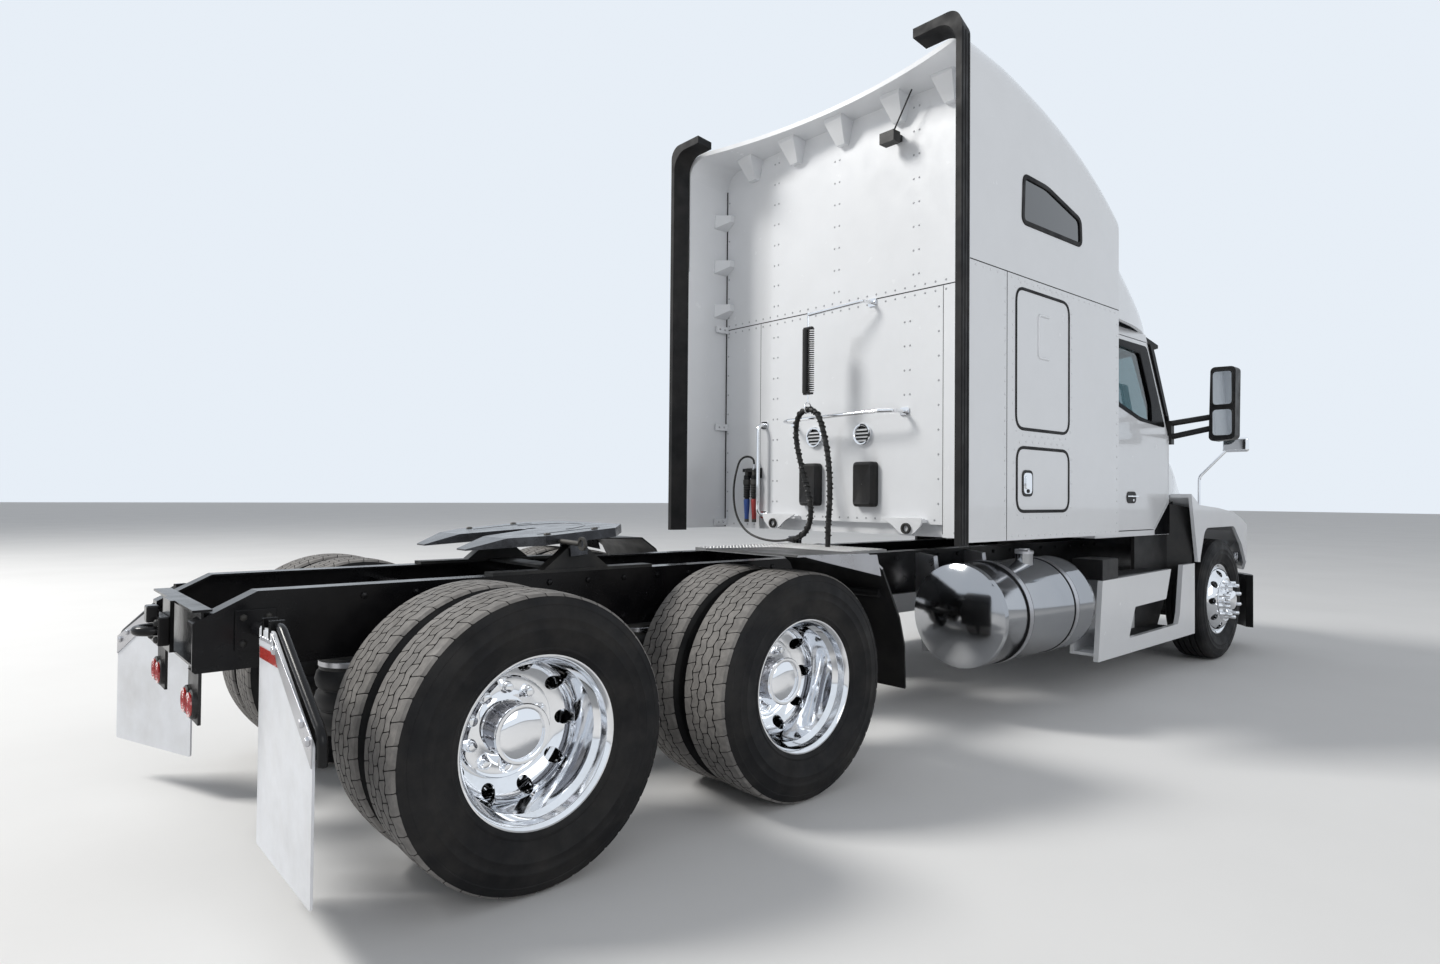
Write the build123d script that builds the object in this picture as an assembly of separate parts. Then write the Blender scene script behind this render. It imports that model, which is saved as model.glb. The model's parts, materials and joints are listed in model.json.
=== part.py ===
from build123d import *
import os
from math import asin, cos, hypot, pi, radians, sin, tan

# Road tractor with three axles and a tall sleeper, in millimetres.
# X runs forward from the middle of the rear bogie, Y to the left and Z up from the ground.
# place() at the end moves every piece so that the origin lies under the middle of the whole vehicle.

# Clearances
SEAT_GAP = 0.3
DOOR_GAP = 7
PIN_GAP = 0.5

# Driving dimensions: wheels and axles
TYRE_R = 510
TYRE_WIDTH = 292
TYRE_BEAD_R = 288
RIM_FLANGE_R = 298.5
RIM_WIDTH = 232
RIM_WALL = 12
DISC_OFFSET = 168
DISC_WALL = 22
HUB_R = 122
HAND_HOLE_R = 28
HAND_HOLE_CIRCLE_R = 229
WELL_DEPTH = 20
HUB_COVER_R = 184
HUB_COVER_WALL = 7
HUB_BARREL_R = 90
HUB_BARREL_LENGTH = 130
HUB_CAP_R = 106
HUB_CAP_LENGTH = 14
HUB_DOME_R = 86
HUB_DOME_HEIGHT = 12
STUD_CIRCLE_R = 143
NUT_COVER_R = 20
DRIVE_NUT_LENGTH = 30
STEER_NUT_LENGTH = 75
STEER_CAP_R = 80
STEER_CAP_LENGTH = 62
HAND_HOLES = 10
WHEELBASE = 5845
AXLE_SPACING = 1321
DUAL_OUTER_Y = 1071
DUAL_SPACING = 335
STEER_WHEEL_Y = 1065
KINGPIN_Y = 940
STEER_ARM = 190
TIE_ROD_Z = 430
STEER_ARM_HALF = 14
AXLE_TUBE_R = 75
AXLE_BOWL_R = 205
SPINDLE_R = 50
SPINDLE_Y = DUAL_OUTER_Y - DISC_OFFSET - 25
HUB_REAR = 130
DRUM_REAR = 290
DRUM_WALL_REAR = 145
DRUM_R = 205
AXLE_TUBE_Y = DUAL_OUTER_Y - DISC_OFFSET - DRUM_WALL_REAR - SEAT_GAP
KINGPIN_R = 22
KINGPIN_EYE_R = 52
KINGPIN_EYE_HALF = 62
FORK_HALF = 112
KNUCKLE_PLATE_Y = KINGPIN_Y + 58
KNUCKLE_PLATE_WALL = 22
AIR_SPRING_R = 125
DRIVE_TREAD_HALF = 118
STEER_TREAD_HALF = 112

# Driving dimensions: engine, gearbox and shafts
ENGINE_REAR_X = 5470
ENGINE_FRONT_X = 6380
ENGINE_HALF_WIDTH = 325
GEARBOX_LENGTH = 860
FLANGE_LENGTH = 100
SHAFT_R = 45
SHAFT_Z = 692

# Driving dimensions: frame
RAIL_TOP = 1003
RAIL_DEPTH = 268
RAIL_FLANGE = 89
RAIL_WALL = 8
FRAME_WIDTH = 864
FRAME_REAR_X = -1560
FRAME_FRONT_X = 6620
REAR_CUT_X = -1364
REAR_CUT_Z = 905
TOW_RING_R = 66
TOW_RING_X = FRAME_REAR_X - 14 - TOW_RING_R + 22
TOW_RING_WIRE_R = 18
CROSSMEMBER_X = (-1530, -660, 0, 660, 1500, 2700, 3900, 6560)
CROSSMEMBER_DEPTH = 190
CROSSMEMBER_FLANGE = 60

# Driving dimensions: cab and sleeper
SLEEPER_REAR_X = 2296
SLEEPER_FRONT_X = 3775
SLEEPER_SIDE_Y = 1225
SLEEPER_BOTTOM_Z = 1110
REAR_WALL_RAISE = 77
REAR_WALL_CORNER_Y = 800
ROOF_SEAM_Z = 2660
BODY_WALL = 40
PANEL_WALL = 30
ROOF_REAR_Z = 3925
LIP_REAR_Z = 3958
EXTENDER_REAR_X = 1905
LIP_ARC_SAG = 213
ROOF_CORNER_R = 180
EDGE_STRIP_REAR_X = 1776
EDGE_STRIP_WALL = 34
EDGE_STRIP_FLARE = 28
EDGE_CAP_Z = 3985
EDGE_CAP_R = 90
EDGE_CAP_INNER_Y = 940
EDGE_CAP_WALL = 52
LIP_GUSSET_Y = (865, 429, -9, -481, -865)
SIDE_GUSSET_Z = (3514, 3161, 2815)
GUSSET_WIDTH = 150
GUSSET_FOOT = 70
GUSSET_HEIGHT = 150
GUSSET_DEPTH = 130
CAB_SIDE_Y = 1060
CAB_TOP_Y = 1000
CAB_BOTTOM_Z = 1075
BELT_Z = 1850
PILLAR_FOOT_X = 5100
PILLAR_HEAD_X = 4790
SCREEN_FOOT_X = 5430
SCREEN_HEAD_X = 5020
GLASS_WALL = 6
GLASS_INSET = 14
PASSAGE_Y = 860
PASSAGE_BOTTOM_Z = 1250

# Driving dimensions: doors
DOOR_REAR_X = 4100
DOOR_FRONT_X = 5090
DOOR_BOTTOM_Z = 1115
DOOR_TOP_Z = 2600
# rear x, front x, bottom z, top z, corner radius of each opening
TALL_DOOR = (2387, 3056, 1752, 2598, 95)
LOW_DOOR = (2397, 3054, 1267, 1662, 90)
HINGE_R = DOOR_GAP / 2 - 0.1
HINGE_LENGTH = 60
CAB_HINGE_Z = (1450, 1740)
TALL_HINGE_Z = (1950, 2400)
LOW_HINGE_Z = (1465,)

# Driving dimensions: hood, fenders and bumper
HOOD_FRONT_X = 6990
HOOD_SIDE_BOTTOM_Z = 1060
HOOD_NOSE_BOTTOM_Z = 722
HOOD_WALL = 25
HOOD_REAR_GAP = 9
HOOD_PIVOT_X = 6985
HOOD_PIVOT_Z = 694
HOOD_PIVOT_Y = 388
PIVOT_LUG_R = 20
PIVOT_LUG_HALF = 8
PIVOT_PIN_R = 12
PIVOT_CHEEK_WALL = 12
FENDER_SIDE_Y = 1228
FENDER_REAR_X = 5240
FENDER_REAR_Z = 855
ARCH_CORNER_R = 110
GRILLE_HALF_WIDTH = 440
GRILLE_BOTTOM_Z = 760
GRILLE_TOP_Z = 1110
GRILLE_BARS = 9
BUMPER_FRONT_X = 7030
BUMPER_TOP_Z = 668
BUMPER_BOTTOM_Z = 190
BUMPER_END_X = 6640
BUMPER_END_Y = 1215
BUMPER_WALL = 60

# Driving dimensions: tanks, steps, deck and rear fenders
TANK_R = 311
TANK_Y = 925
TANK_Z = 650
TANK_REAR_X = 2270
TANK_FRONT_X = 3400
TANK_DOME = 62
STRAP_WIDTH = 45
STRAP_WALL = 6
STRAP_X = (2560, 3140)
STEP_SIDE_Y = 1205
STEP_WALL = 35
STEP_REAR_X = 3545
STEP_FRONT_X = 5235
STEP_TOP_Z = 800
STEP_BOTTOM_Z = 262
STEP_INNER_Y = -985
STEP_FLOOR_Z = 306
LOW_TREAD_Z = 366
TREAD_WALL = 26
RISER_REAR_X = 3560
END_BOX_X = (3600, 3880)
END_BOX_TOP_Z = 940
SILL_REAR_X = 4560
STEP_BRACKET_X = (3950, 4500)
DECK_REAR_X = 1360
DECK_FRONT_X = 2230
DECK_WALL = 22
QUARTER_WALL = 8
QUARTER_INNER_Y = 600
QUARTER_OUTER_Y = 1215
FLAP_X = -1385
FLAP_INNER_Y = 600
FLAP_WIDTH = 610
FLAP_TOP_Z = 905
FLAP_BOTTOM_Z = 180
FLAP_WALL = 8
LEFT_FLAP_SWING = 20

# Driving dimensions: fifth wheel
PLATE_PIVOT_X = -50
PLATE_PIVOT_Z = 1105
PLATE_TOP_Z = 1184
PLATE_FRONT_X = 280
PLATE_RAMP_X = -520
PLATE_HALF_WIDTH = 457
PLATE_REST_TILT = 4.6
THROAT_HALF_WIDTH = 150
LOCK_BORE_R = 26
PLATE_DEPTH = 42
PEDESTAL_Y = FRAME_WIDTH / 2 - 44
PEDESTAL_HALF = 30
EAR_WALL = 16
PLATE_PIN_R = 25

# Driving dimensions: hoses
BUNDLE_R = 17
AIR_HOSE_R = 8
HOOK_R = 34
BUNDLE_TOP_Z = 1937
HOOK_Z = BUNDLE_TOP_Z - BUNDLE_R + HOOK_R - 5 - SEAT_GAP
SPRING_REACH = 250
SPRING_Y = 86
SPRING_TOP_Z = 2480
SPRING_BOTTOM_Z = 2050


def box(x0, x1, y0, y1, z0, z1):
    """A block between two corners."""
    block = Box(x1 - x0, y1 - y0, z1 - z0)
    return Pos((x0 + x1) / 2, (y0 + y1) / 2, (z0 + z1) / 2) * block


def outline_face(points, radius=0):
    """A flat face from corner points, its corners rounded by radius."""
    face = make_face(Polyline(*points, close=True))
    if radius:
        face = fillet(face.vertices(), radius)
    return face


def side_prism(points, y0, y1, radius=0):
    """An outline drawn in X and Z, from y0 to y1."""
    face = outline_face([(x, y0, z) for x, z in points], radius)
    return extrude(face, amount=y1 - y0, dir=(0, 1, 0))


def plan_prism(points, z0, z1, radius=0):
    """An outline drawn in X and Y, from z0 to z1."""
    face = outline_face([(x, y, z0) for x, y in points], radius)
    return extrude(face, amount=z1 - z0, dir=(0, 0, 1))


def front_prism(points, x0, x1, radius=0):
    """An outline drawn in Y and Z, from x0 to x1."""
    face = outline_face([(x0, y, z) for y, z in points], radius)
    return extrude(face, amount=x1 - x0, dir=(1, 0, 0))


def rod(start, end, radius):
    """A round bar between two points."""
    axis = Vector(*end) - Vector(*start)
    return Solid.make_cylinder(radius, axis.length, Plane(origin=start, z_dir=axis))


def bent_rod(points, radius, bend):
    """A round bar along runs joined by bends of one radius."""
    path = FilletPolyline(*points, radius=bend)
    start = Plane(origin=path @ 0, z_dir=path % 0)
    return sweep(start * Circle(radius), path=path)


def flip(shape):
    """The same piece on the other side."""
    return mirror(shape, about=Plane.XZ)


def both_sides(shape):
    return [shape, flip(shape)]


def hoop_face(x, half_width, bottom, top, corner, crown):
    """A section across the vehicle: upright sides, rounded shoulders and a crowned top."""
    k = corner * (1 - cos(radians(45)))
    edge = half_width - corner
    shoulder = top - corner
    edges = [
        Line((x, -half_width, bottom), (x, -half_width, shoulder)),
        ThreePointArc((x, -half_width, shoulder), (x, k - half_width, top - k), (x, -edge, top)),
        ThreePointArc((x, -edge, top), (x, 0, top + crown), (x, edge, top)),
        ThreePointArc((x, edge, top), (x, half_width - k, top - k), (x, half_width, shoulder)),
        Line((x, half_width, shoulder), (x, half_width, bottom)),
        Line((x, half_width, bottom), (x, -half_width, bottom)),
    ]
    return make_face(edges)


def hoop_loft(rows, bottom, inset=0):
    """A loft through rows of (x, half width, top, shoulder radius, crown), drawn in by inset."""
    faces = [hoop_face(x, w - inset, bottom, top - inset, r - inset, crown) for x, w, top, r, crown in rows]
    return loft(faces)


# Frame and running gear
def frame_rail():
    """One channel rail on the right, its open side inward, with the rear end cut away below."""
    outer_y = -FRAME_WIDTH / 2
    inner_y = outer_y + RAIL_FLANGE
    bottom = RAIL_TOP - RAIL_DEPTH
    web = [
        (FRAME_REAR_X, bottom + 10),
        (FRAME_REAR_X, REAR_CUT_Z),
        (REAR_CUT_X, RAIL_TOP),
        (FRAME_FRONT_X, RAIL_TOP),
        (FRAME_FRONT_X, bottom),
        (FRAME_REAR_X + 10, bottom),
    ]
    pocket = [
        (FRAME_REAR_X - 50, bottom + RAIL_WALL),
        (FRAME_REAR_X - 50, REAR_CUT_Z - 40),
        (REAR_CUT_X, RAIL_TOP - RAIL_WALL),
        (FRAME_FRONT_X + 50, RAIL_TOP - RAIL_WALL),
        (FRAME_FRONT_X + 50, bottom + RAIL_WALL),
    ]
    return side_prism(web, outer_y, inner_y) - side_prism(pocket, outer_y + RAIL_WALL, inner_y + 5)


def crossmember_bottom():
    return RAIL_TOP - RAIL_DEPTH / 2 - 15 - CROSSMEMBER_DEPTH / 2


def crossmember(x):
    """An I-shaped member between the webs of the rails."""
    half = FRAME_WIDTH / 2 - RAIL_WALL
    low = crossmember_bottom()
    high = low + CROSSMEMBER_DEPTH
    wall = RAIL_WALL
    flange = CROSSMEMBER_FLANGE / 2
    web = box(x - wall / 2, x + wall / 2, -half, half, low, high)
    top = box(x - flange, x + flange, -half, half, high - wall, high)
    foot = box(x - flange, x + flange, -half, half, low, low + wall)
    return web + top + foot


def tow_ring():
    """The ring and its plate on the rear crossmember."""
    middle_z = RAIL_TOP - RAIL_DEPTH / 2 - 30
    ring = Pos(TOW_RING_X, 0, middle_z) * Torus(TOW_RING_R - TOW_RING_WIRE_R, TOW_RING_WIRE_R)
    low = crossmember_bottom()
    plate = box(FRAME_REAR_X - 14, FRAME_REAR_X, -80, 80, low, low + CROSSMEMBER_DEPTH)
    return ring + plate


def make_frame():
    frame = frame_rail()
    frame += flip(frame_rail())
    for x in CROSSMEMBER_X:
        frame += crossmember(x)
    return [frame + tow_ring()]


def make_front_axle():
    """A dropped I-beam axle with eyes at the kingpins, and a leaf spring under each rail."""
    drop_z = TYRE_R - 90
    eye_z = TYRE_R
    beam_side = 45
    reach = KINGPIN_Y - KINGPIN_EYE_R + 10
    beam_line = [
        (-reach, eye_z + 45), (-reach, eye_z - 45), (-640, drop_z - 45), (640, drop_z - 45),
        (reach, eye_z - 45), (reach, eye_z + 45), (620, drop_z + 45), (-620, drop_z + 45),
    ]
    axle = front_prism(beam_line, WHEELBASE - beam_side, WHEELBASE + beam_side)
    for side in (-1, 1):
        y = side * KINGPIN_Y
        eye_foot = (WHEELBASE, y, eye_z - KINGPIN_EYE_HALF)
        eye_head = (WHEELBASE, y, eye_z + KINGPIN_EYE_HALF)
        eye = rod(eye_foot, eye_head, KINGPIN_EYE_R)
        bore = rod((WHEELBASE, y, eye_z - 99), (WHEELBASE, y, eye_z + 99), KINGPIN_R + 1)
        axle = axle + eye - bore
    spring_y = FRAME_WIDTH / 2 - RAIL_FLANGE / 2
    spring_half = 700
    spring_sag = 130
    eye_top = RAIL_TOP - RAIL_DEPTH
    for side in (-1, 1):
        y0 = side * spring_y - 45
        high = Line((WHEELBASE - spring_half, y0, eye_top - 70), (WHEELBASE - spring_half, y0, eye_top - 100))
        lower = ThreePointArc(high @ 1, (WHEELBASE, y0, eye_top - 100 - spring_sag),
                              (WHEELBASE + spring_half, y0, eye_top - 100))
        front = Line(lower @ 1, (WHEELBASE + spring_half, y0, eye_top - 70))
        upper = ThreePointArc(front @ 1, (WHEELBASE, y0, eye_top - 70 - spring_sag), high @ 0)
        leaf = extrude(make_face([high, lower, front, upper]), amount=90, dir=(0, 1, 0))
        saddle = box(WHEELBASE - 70, WHEELBASE + 70, y0, y0 + 90, drop_z + 40, eye_top - 70 - spring_sag)
        axle = axle + leaf + saddle
        for x in (WHEELBASE - spring_half + 10, WHEELBASE + spring_half - 40):
            axle += box(x - 10, x + 40, y0 + 20, y0 + 70, eye_top - 90, eye_top)
    return [axle]


def drive_axle(x):
    """A driving axle: tube, round bowl and the spindles inside the hubs."""
    bowl = Pos(x, 0, TYRE_R) * Sphere(AXLE_BOWL_R)
    tube = rod((x, -AXLE_TUBE_Y, TYRE_R), (x, AXLE_TUBE_Y, TYRE_R), AXLE_TUBE_R)
    spindle = rod((x, -SPINDLE_Y, TYRE_R), (x, SPINDLE_Y, TYRE_R), SPINDLE_R)
    return bowl + tube + spindle


def make_drive_axles():
    return [drive_axle(side * AXLE_SPACING / 2) for side in (1, -1)]


def make_rear_suspension():
    """For each axle and side: a trailing arm, its hanger, an air spring and a damper."""
    pieces = []
    arm_y = FRAME_WIDTH / 2 - RAIL_FLANGE / 2
    bottom = RAIL_TOP - RAIL_DEPTH
    for axle_x in (AXLE_SPACING / 2, -AXLE_SPACING / 2):
        arm_line = [
            (axle_x + 420, 640), (axle_x + 420, 560), (axle_x + 90, 600),
            (axle_x - 300, 420), (axle_x - 420, 420), (axle_x - 420, 455), (axle_x - 90, 672),
        ]
        arm = side_prism(arm_line, arm_y - 38, arm_y + 38)
        arm -= rod((axle_x, arm_y - 60, TYRE_R), (axle_x, arm_y + 60, TYRE_R), AXLE_TUBE_R)
        hanger_line = [
            (axle_x + 330, bottom), (axle_x + 480, bottom), (axle_x + 450, 560), (axle_x + 390, 560),
        ]
        hanger = side_prism(hanger_line, arm_y - 44, arm_y + 44)
        bellows_x = axle_x - 355
        bellows = rod((bellows_x, arm_y, 455), (bellows_x, arm_y, bottom), AIR_SPRING_R)
        unit = arm + hanger + bellows
        pieces += both_sides(unit)
    return pieces


def make_engine():
    """The engine as one plain block, with the gearbox behind it."""
    block = box(ENGINE_REAR_X, ENGINE_FRONT_X, -ENGINE_HALF_WIDTH, ENGINE_HALF_WIDTH, 600, 1460)
    gearbox_x = ENGINE_REAR_X - GEARBOX_LENGTH
    gearbox = rod((gearbox_x, 0, 820), (ENGINE_REAR_X, 0, 820), 225)
    flange = rod((gearbox_x - FLANGE_LENGTH, 0, SHAFT_Z), (gearbox_x, 0, SHAFT_Z), 80)
    return [block + gearbox + flange]


def make_propshafts():
    """Two shafts from gearbox to forward axle, with a middle bearing, and one between the axles."""
    bearing_x = 2760
    front_end = (ENGINE_REAR_X - GEARBOX_LENGTH - FLANGE_LENGTH, 0, SHAFT_Z)
    bearing = (bearing_x, 0, SHAFT_Z)
    forward_x = AXLE_SPACING / 2
    shafts = rod(front_end, bearing, SHAFT_R) + Pos(*bearing) * Sphere(65)
    shafts += rod(bearing, (forward_x, 0, TYRE_R + 20), SHAFT_R)
    shafts += box(2700 - 20, 2700 + 20, -60, 60, SHAFT_Z + 20, crossmember_bottom())
    shafts -= drive_axle(forward_x)
    inter = rod((forward_x, 0, TYRE_R), (-forward_x, 0, TYRE_R), SHAFT_R)
    inter = inter - drive_axle(forward_x) - drive_axle(-forward_x)
    return [shafts, inter]


def make_radiator():
    """The cooling pack between and above the front ends of the rails."""
    low = box(6440, 6520, -330, 330, 700, RAIL_TOP)
    high = box(6440, 6520, -500, 500, RAIL_TOP, 1380)
    return [low + high]


# Wheels
def tyre(width, tread_flat):
    """A tyre about the Y axis, centred at the origin: tread, shoulders, side walls and beads."""
    half = width / 2
    side_r = (TYRE_R + TYRE_BEAD_R) / 2 + 15
    top = Line((TYRE_R, -tread_flat, 0), (TYRE_R, tread_flat, 0))
    shoulder = ThreePointArc(top @ 1, (TYRE_R - 12, half - 16, 0), (TYRE_R - 45, half - 7, 0))
    wall = ThreePointArc(shoulder @ 1, (side_r, half, 0), (TYRE_BEAD_R + 24, RIM_WIDTH / 2 + 3, 0))
    bead = Line(wall @ 1, (TYRE_BEAD_R, RIM_WIDTH / 2 - 15, 0))
    seat = Line(bead @ 1, (TYRE_BEAD_R, 15 - RIM_WIDTH / 2, 0))
    bead_in = Line(seat @ 1, (TYRE_BEAD_R + 24, -3 - RIM_WIDTH / 2, 0))
    wall_in = ThreePointArc(bead_in @ 1, (side_r, -half, 0), (TYRE_R - 45, 7 - half, 0))
    shoulder_in = ThreePointArc(wall_in @ 1, (TYRE_R - 12, 16 - half, 0), top @ 0)
    profile = make_face([top, shoulder, wall, bead, seat, bead_in, wall_in, shoulder_in])
    return revolve(profile, Axis.Y)


def rim():
    """A drop-centre rim about the Y axis, to carry its disc toward +Y."""
    half = RIM_WIDTH / 2
    seat = TYRE_BEAD_R - SEAT_GAP
    well = seat - WELL_DEPTH
    inside = seat - RIM_WALL
    well_inside = well - RIM_WALL
    lip = RIM_FLANGE_R - 8
    outline = [
        (RIM_FLANGE_R, -half), (seat, 14 - half), (seat - 4, -64), (well, -40), (well, 40), (seat - 4, 64),
        (seat, half - 14), (RIM_FLANGE_R, half),
        (lip, half), (inside, half - 12), (well_inside, half - 32), (well_inside, -46), (inside, -66),
        (inside, 12 - half), (lip, -half),
    ]
    return revolve(outline_face([(r, y, 0) for r, y in outline]), Axis.Y)


def disc():
    """The wheel's dished disc, from the rim to its flat mounting face, with a ring of hand holes."""
    face_y = DISC_OFFSET
    near_y = face_y - DISC_WALL
    bore_r = HUB_R - 12
    edge_r = TYRE_BEAD_R - WELL_DEPTH - 8
    profile = [
        (edge_r, 62), (edge_r - 3, 84), (edge_r - 10, 108),
        (HAND_HOLE_CIRCLE_R, near_y - 16), (HUB_COVER_R + 6, near_y),
        (bore_r, near_y), (bore_r, face_y), (HUB_COVER_R + 2, face_y),
        (HAND_HOLE_CIRCLE_R, face_y - 16), (edge_r - 4, face_y - 36), (edge_r + 8, 110), (edge_r + 12, 90),
    ]
    plate = revolve(outline_face([(r, y, 0) for r, y in profile]), Axis.Y)
    return plate - ring_of_rods(HAND_HOLES, HAND_HOLE_CIRCLE_R, HAND_HOLE_R, 60, DISC_OFFSET + 20)


def ring_of_rods(count, circle_r, radius, y0, y1):
    """Round bars along Y, evenly spaced on a circle about the Y axis."""
    rods = []
    for number in range(count):
        angle = radians(360 / count * (number + 0.5))
        x = circle_r * cos(angle)
        z = circle_r * sin(angle)
        rods.append(rod((x, y0, z), (x, y1, z), radius))
    return rods


def nut_covers(y, length):
    """Round covers over the wheel nuts, rounded at their outer ends."""
    covers = []
    for cover in ring_of_rods(HAND_HOLES, STUD_CIRCLE_R, NUT_COVER_R, y, y + length):
        covers.append(chamfer(cover.edges().filter_by(GeomType.CIRCLE).sort_by(Axis.Y)[-1], NUT_COVER_R / 3))
    return covers


def wheel():
    """A whole wheel centred at the origin, its mounting face toward +Y."""
    return rim() + disc()


def dome(y, radius, height):
    """A shallow round cap about the Y axis, standing on a flat end at y."""
    ball_r = (radius ** 2 + height ** 2) / (2 * height)
    bend = asin(radius / ball_r) / 2
    halfway = (ball_r * sin(bend), y + height - ball_r * (1 - cos(bend)), 0)
    arc = ThreePointArc((0, y + height, 0), halfway, (radius, y, 0))
    base = Polyline((radius, y, 0), (radius, y - 2, 0), (0, y - 2, 0), (0, y + height, 0))
    return revolve(make_face([arc] + list(base.edges())), Axis.Y)


def drive_wheel_pair(x, side):
    """Two rims back to back on one hub. The hub and its cap stand in the outer wheel's dish."""
    outer_y = DUAL_OUTER_Y
    face_y = outer_y - DISC_OFFSET
    outer = Pos(0, outer_y, 0) * mirror(wheel(), about=Plane.XZ)
    inner = Pos(0, face_y - DISC_OFFSET, 0) * wheel()
    near_y = face_y + DISC_WALL
    cover_y = near_y + HUB_COVER_WALL
    cap_y = cover_y + HUB_BARREL_LENGTH - HUB_CAP_LENGTH
    hub = rod((0, face_y - HUB_REAR, 0), (0, near_y, 0), HUB_R)
    hub += rod((0, near_y, 0), (0, cover_y, 0), HUB_COVER_R)
    hub += rod((0, cover_y, 0), (0, cap_y, 0), HUB_BARREL_R)
    hub += rod((0, cap_y, 0), (0, cap_y + HUB_CAP_LENGTH, 0), HUB_CAP_R)
    hub += dome(cap_y + HUB_CAP_LENGTH, HUB_DOME_R, HUB_DOME_HEIGHT)
    for cover in nut_covers(cover_y, DRIVE_NUT_LENGTH):
        hub += cover
    drum = rod((0, face_y - DRUM_REAR, 0), (0, face_y - HUB_REAR, 0), DRUM_R)
    pair = outer + inner + hub + drum
    pair -= rod((0, face_y - DRUM_REAR, 0), (0, face_y - DRUM_WALL_REAR, 0), DRUM_R - 15)
    pair -= rod((0, face_y - DRUM_WALL_REAR, 0), (0, face_y - 20, 0), SPINDLE_R + 2)
    if side < 0:
        pair = flip(pair)
    return Pos(x, 0, TYRE_R) * pair


def drive_tyre_pair(x, side):
    outer_y = side * DUAL_OUTER_Y
    inner_y = side * (DUAL_OUTER_Y - DUAL_SPACING)
    one = tyre(TYRE_WIDTH, DRIVE_TREAD_HALF)
    return [Pos(x, outer_y, TYRE_R) * one, Pos(x, inner_y, TYRE_R) * one]


def steer_wheel(side):
    """The front wheel with its disc outward and its hub cap."""
    face_y = STEER_WHEEL_Y + DISC_OFFSET
    body = Pos(0, STEER_WHEEL_Y, 0) * wheel()
    hub_rear = KNUCKLE_PLATE_Y + KNUCKLE_PLATE_WALL + SEAT_GAP
    hub = rod((0, hub_rear, 0), (0, face_y, 0), HUB_R - 4)
    cover_y = face_y + HUB_COVER_WALL
    hub += rod((0, face_y, 0), (0, cover_y, 0), HUB_COVER_R)
    hub += rod((0, cover_y, 0), (0, cover_y + STEER_CAP_LENGTH, 0), STEER_CAP_R)
    hub += dome(cover_y + STEER_CAP_LENGTH, STEER_CAP_R - 8, HUB_DOME_HEIGHT)
    for cover in nut_covers(cover_y, STEER_NUT_LENGTH):
        hub += cover
    body = body + hub
    body -= rod((0, hub_rear, 0), (0, face_y - 60, 0), SPINDLE_R + 2)
    if side < 0:
        body = flip(body)
    return Pos(WHEELBASE, 0, TYRE_R) * body


def steer_tyre(side):
    return Pos(WHEELBASE, side * STEER_WHEEL_Y, TYRE_R) * tyre(TYRE_WIDTH, STEER_TREAD_HALF)


def knuckle(side):
    """Steering knuckle: a fork above and below the axle's eye, the kingpin, the spindle and the arm back."""
    fork_gap = KINGPIN_EYE_HALF + SEAT_GAP
    plate = box(-55, 55, KNUCKLE_PLATE_Y, KNUCKLE_PLATE_Y + KNUCKLE_PLATE_WALL, -FORK_HALF, FORK_HALF)
    body = plate + rod((0, KINGPIN_Y, -FORK_HALF), (0, KINGPIN_Y, FORK_HALF), KINGPIN_R)
    for z0, z1 in ((-FORK_HALF, -fork_gap), (fork_gap, FORK_HALF)):
        body += rod((0, KINGPIN_Y, z0), (0, KINGPIN_Y, z1), KINGPIN_EYE_R - 2)
        body += box(-40, 40, KINGPIN_Y, KNUCKLE_PLATE_Y + 5, z0, z1)
    face_y = STEER_WHEEL_Y + DISC_OFFSET
    body += rod((0, KNUCKLE_PLATE_Y, 0), (0, face_y - 62, 0), SPINDLE_R)
    eye_z = TIE_ROD_Z - TYRE_R
    arm_line = [
        (0, -FORK_HALF), (0, 30 - FORK_HALF), (-STEER_ARM - 24, eye_z + STEER_ARM_HALF),
        (-STEER_ARM - 24, eye_z - STEER_ARM_HALF), (24 - STEER_ARM, eye_z - STEER_ARM_HALF),
    ]
    body += side_prism(arm_line, KINGPIN_Y - 22, KINGPIN_Y + 22)
    if side < 0:
        body = flip(body)
    return Pos(WHEELBASE, 0, TYRE_R) * body


def make_tie_rod():
    """The rod that joins both steering arms, hung below them by its ball studs."""
    x = WHEELBASE - STEER_ARM
    rod_z = TIE_ROD_Z - 62
    bar = rod((x, -KINGPIN_Y, rod_z), (x, KINGPIN_Y, rod_z), 20)
    for side in (-1, 1):
        y = side * KINGPIN_Y
        bar += Pos(x, y, rod_z) * Sphere(32)
        bar += rod((x, y, rod_z), (x, y, TIE_ROD_Z - STEER_ARM_HALF - SEAT_GAP), 14)
    return [bar]


# Hinges of the doors
def hinge_knuckles(edge_x, face_y, side, heights, on_door):
    """Barrels in the gap along a door's front edge: the body's above and below, the door's between them."""
    axis_x = edge_x - DOOR_GAP / 2
    y = side * face_y
    inner_y = side * (face_y - HINGE_R)
    half = HINGE_LENGTH / 2
    if on_door:
        web_x = (axis_x - DOOR_GAP / 2 - 1, axis_x)
        spans = [(SEAT_GAP - half, half - SEAT_GAP)]
    else:
        web_x = (axis_x, axis_x + DOOR_GAP / 2 + 1)
        spans = [(-3 * half, -half), (half, 3 * half)]
    knuckles = []
    for middle in heights:
        for low, high in spans:
            barrel = rod((axis_x, y, middle + low), (axis_x, y, middle + high), HINGE_R)
            web = box(web_x[0], web_x[1], min(y, inner_y), max(y, inner_y), middle + low, middle + high)
            knuckles.append(barrel + web)
    return knuckles


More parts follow.
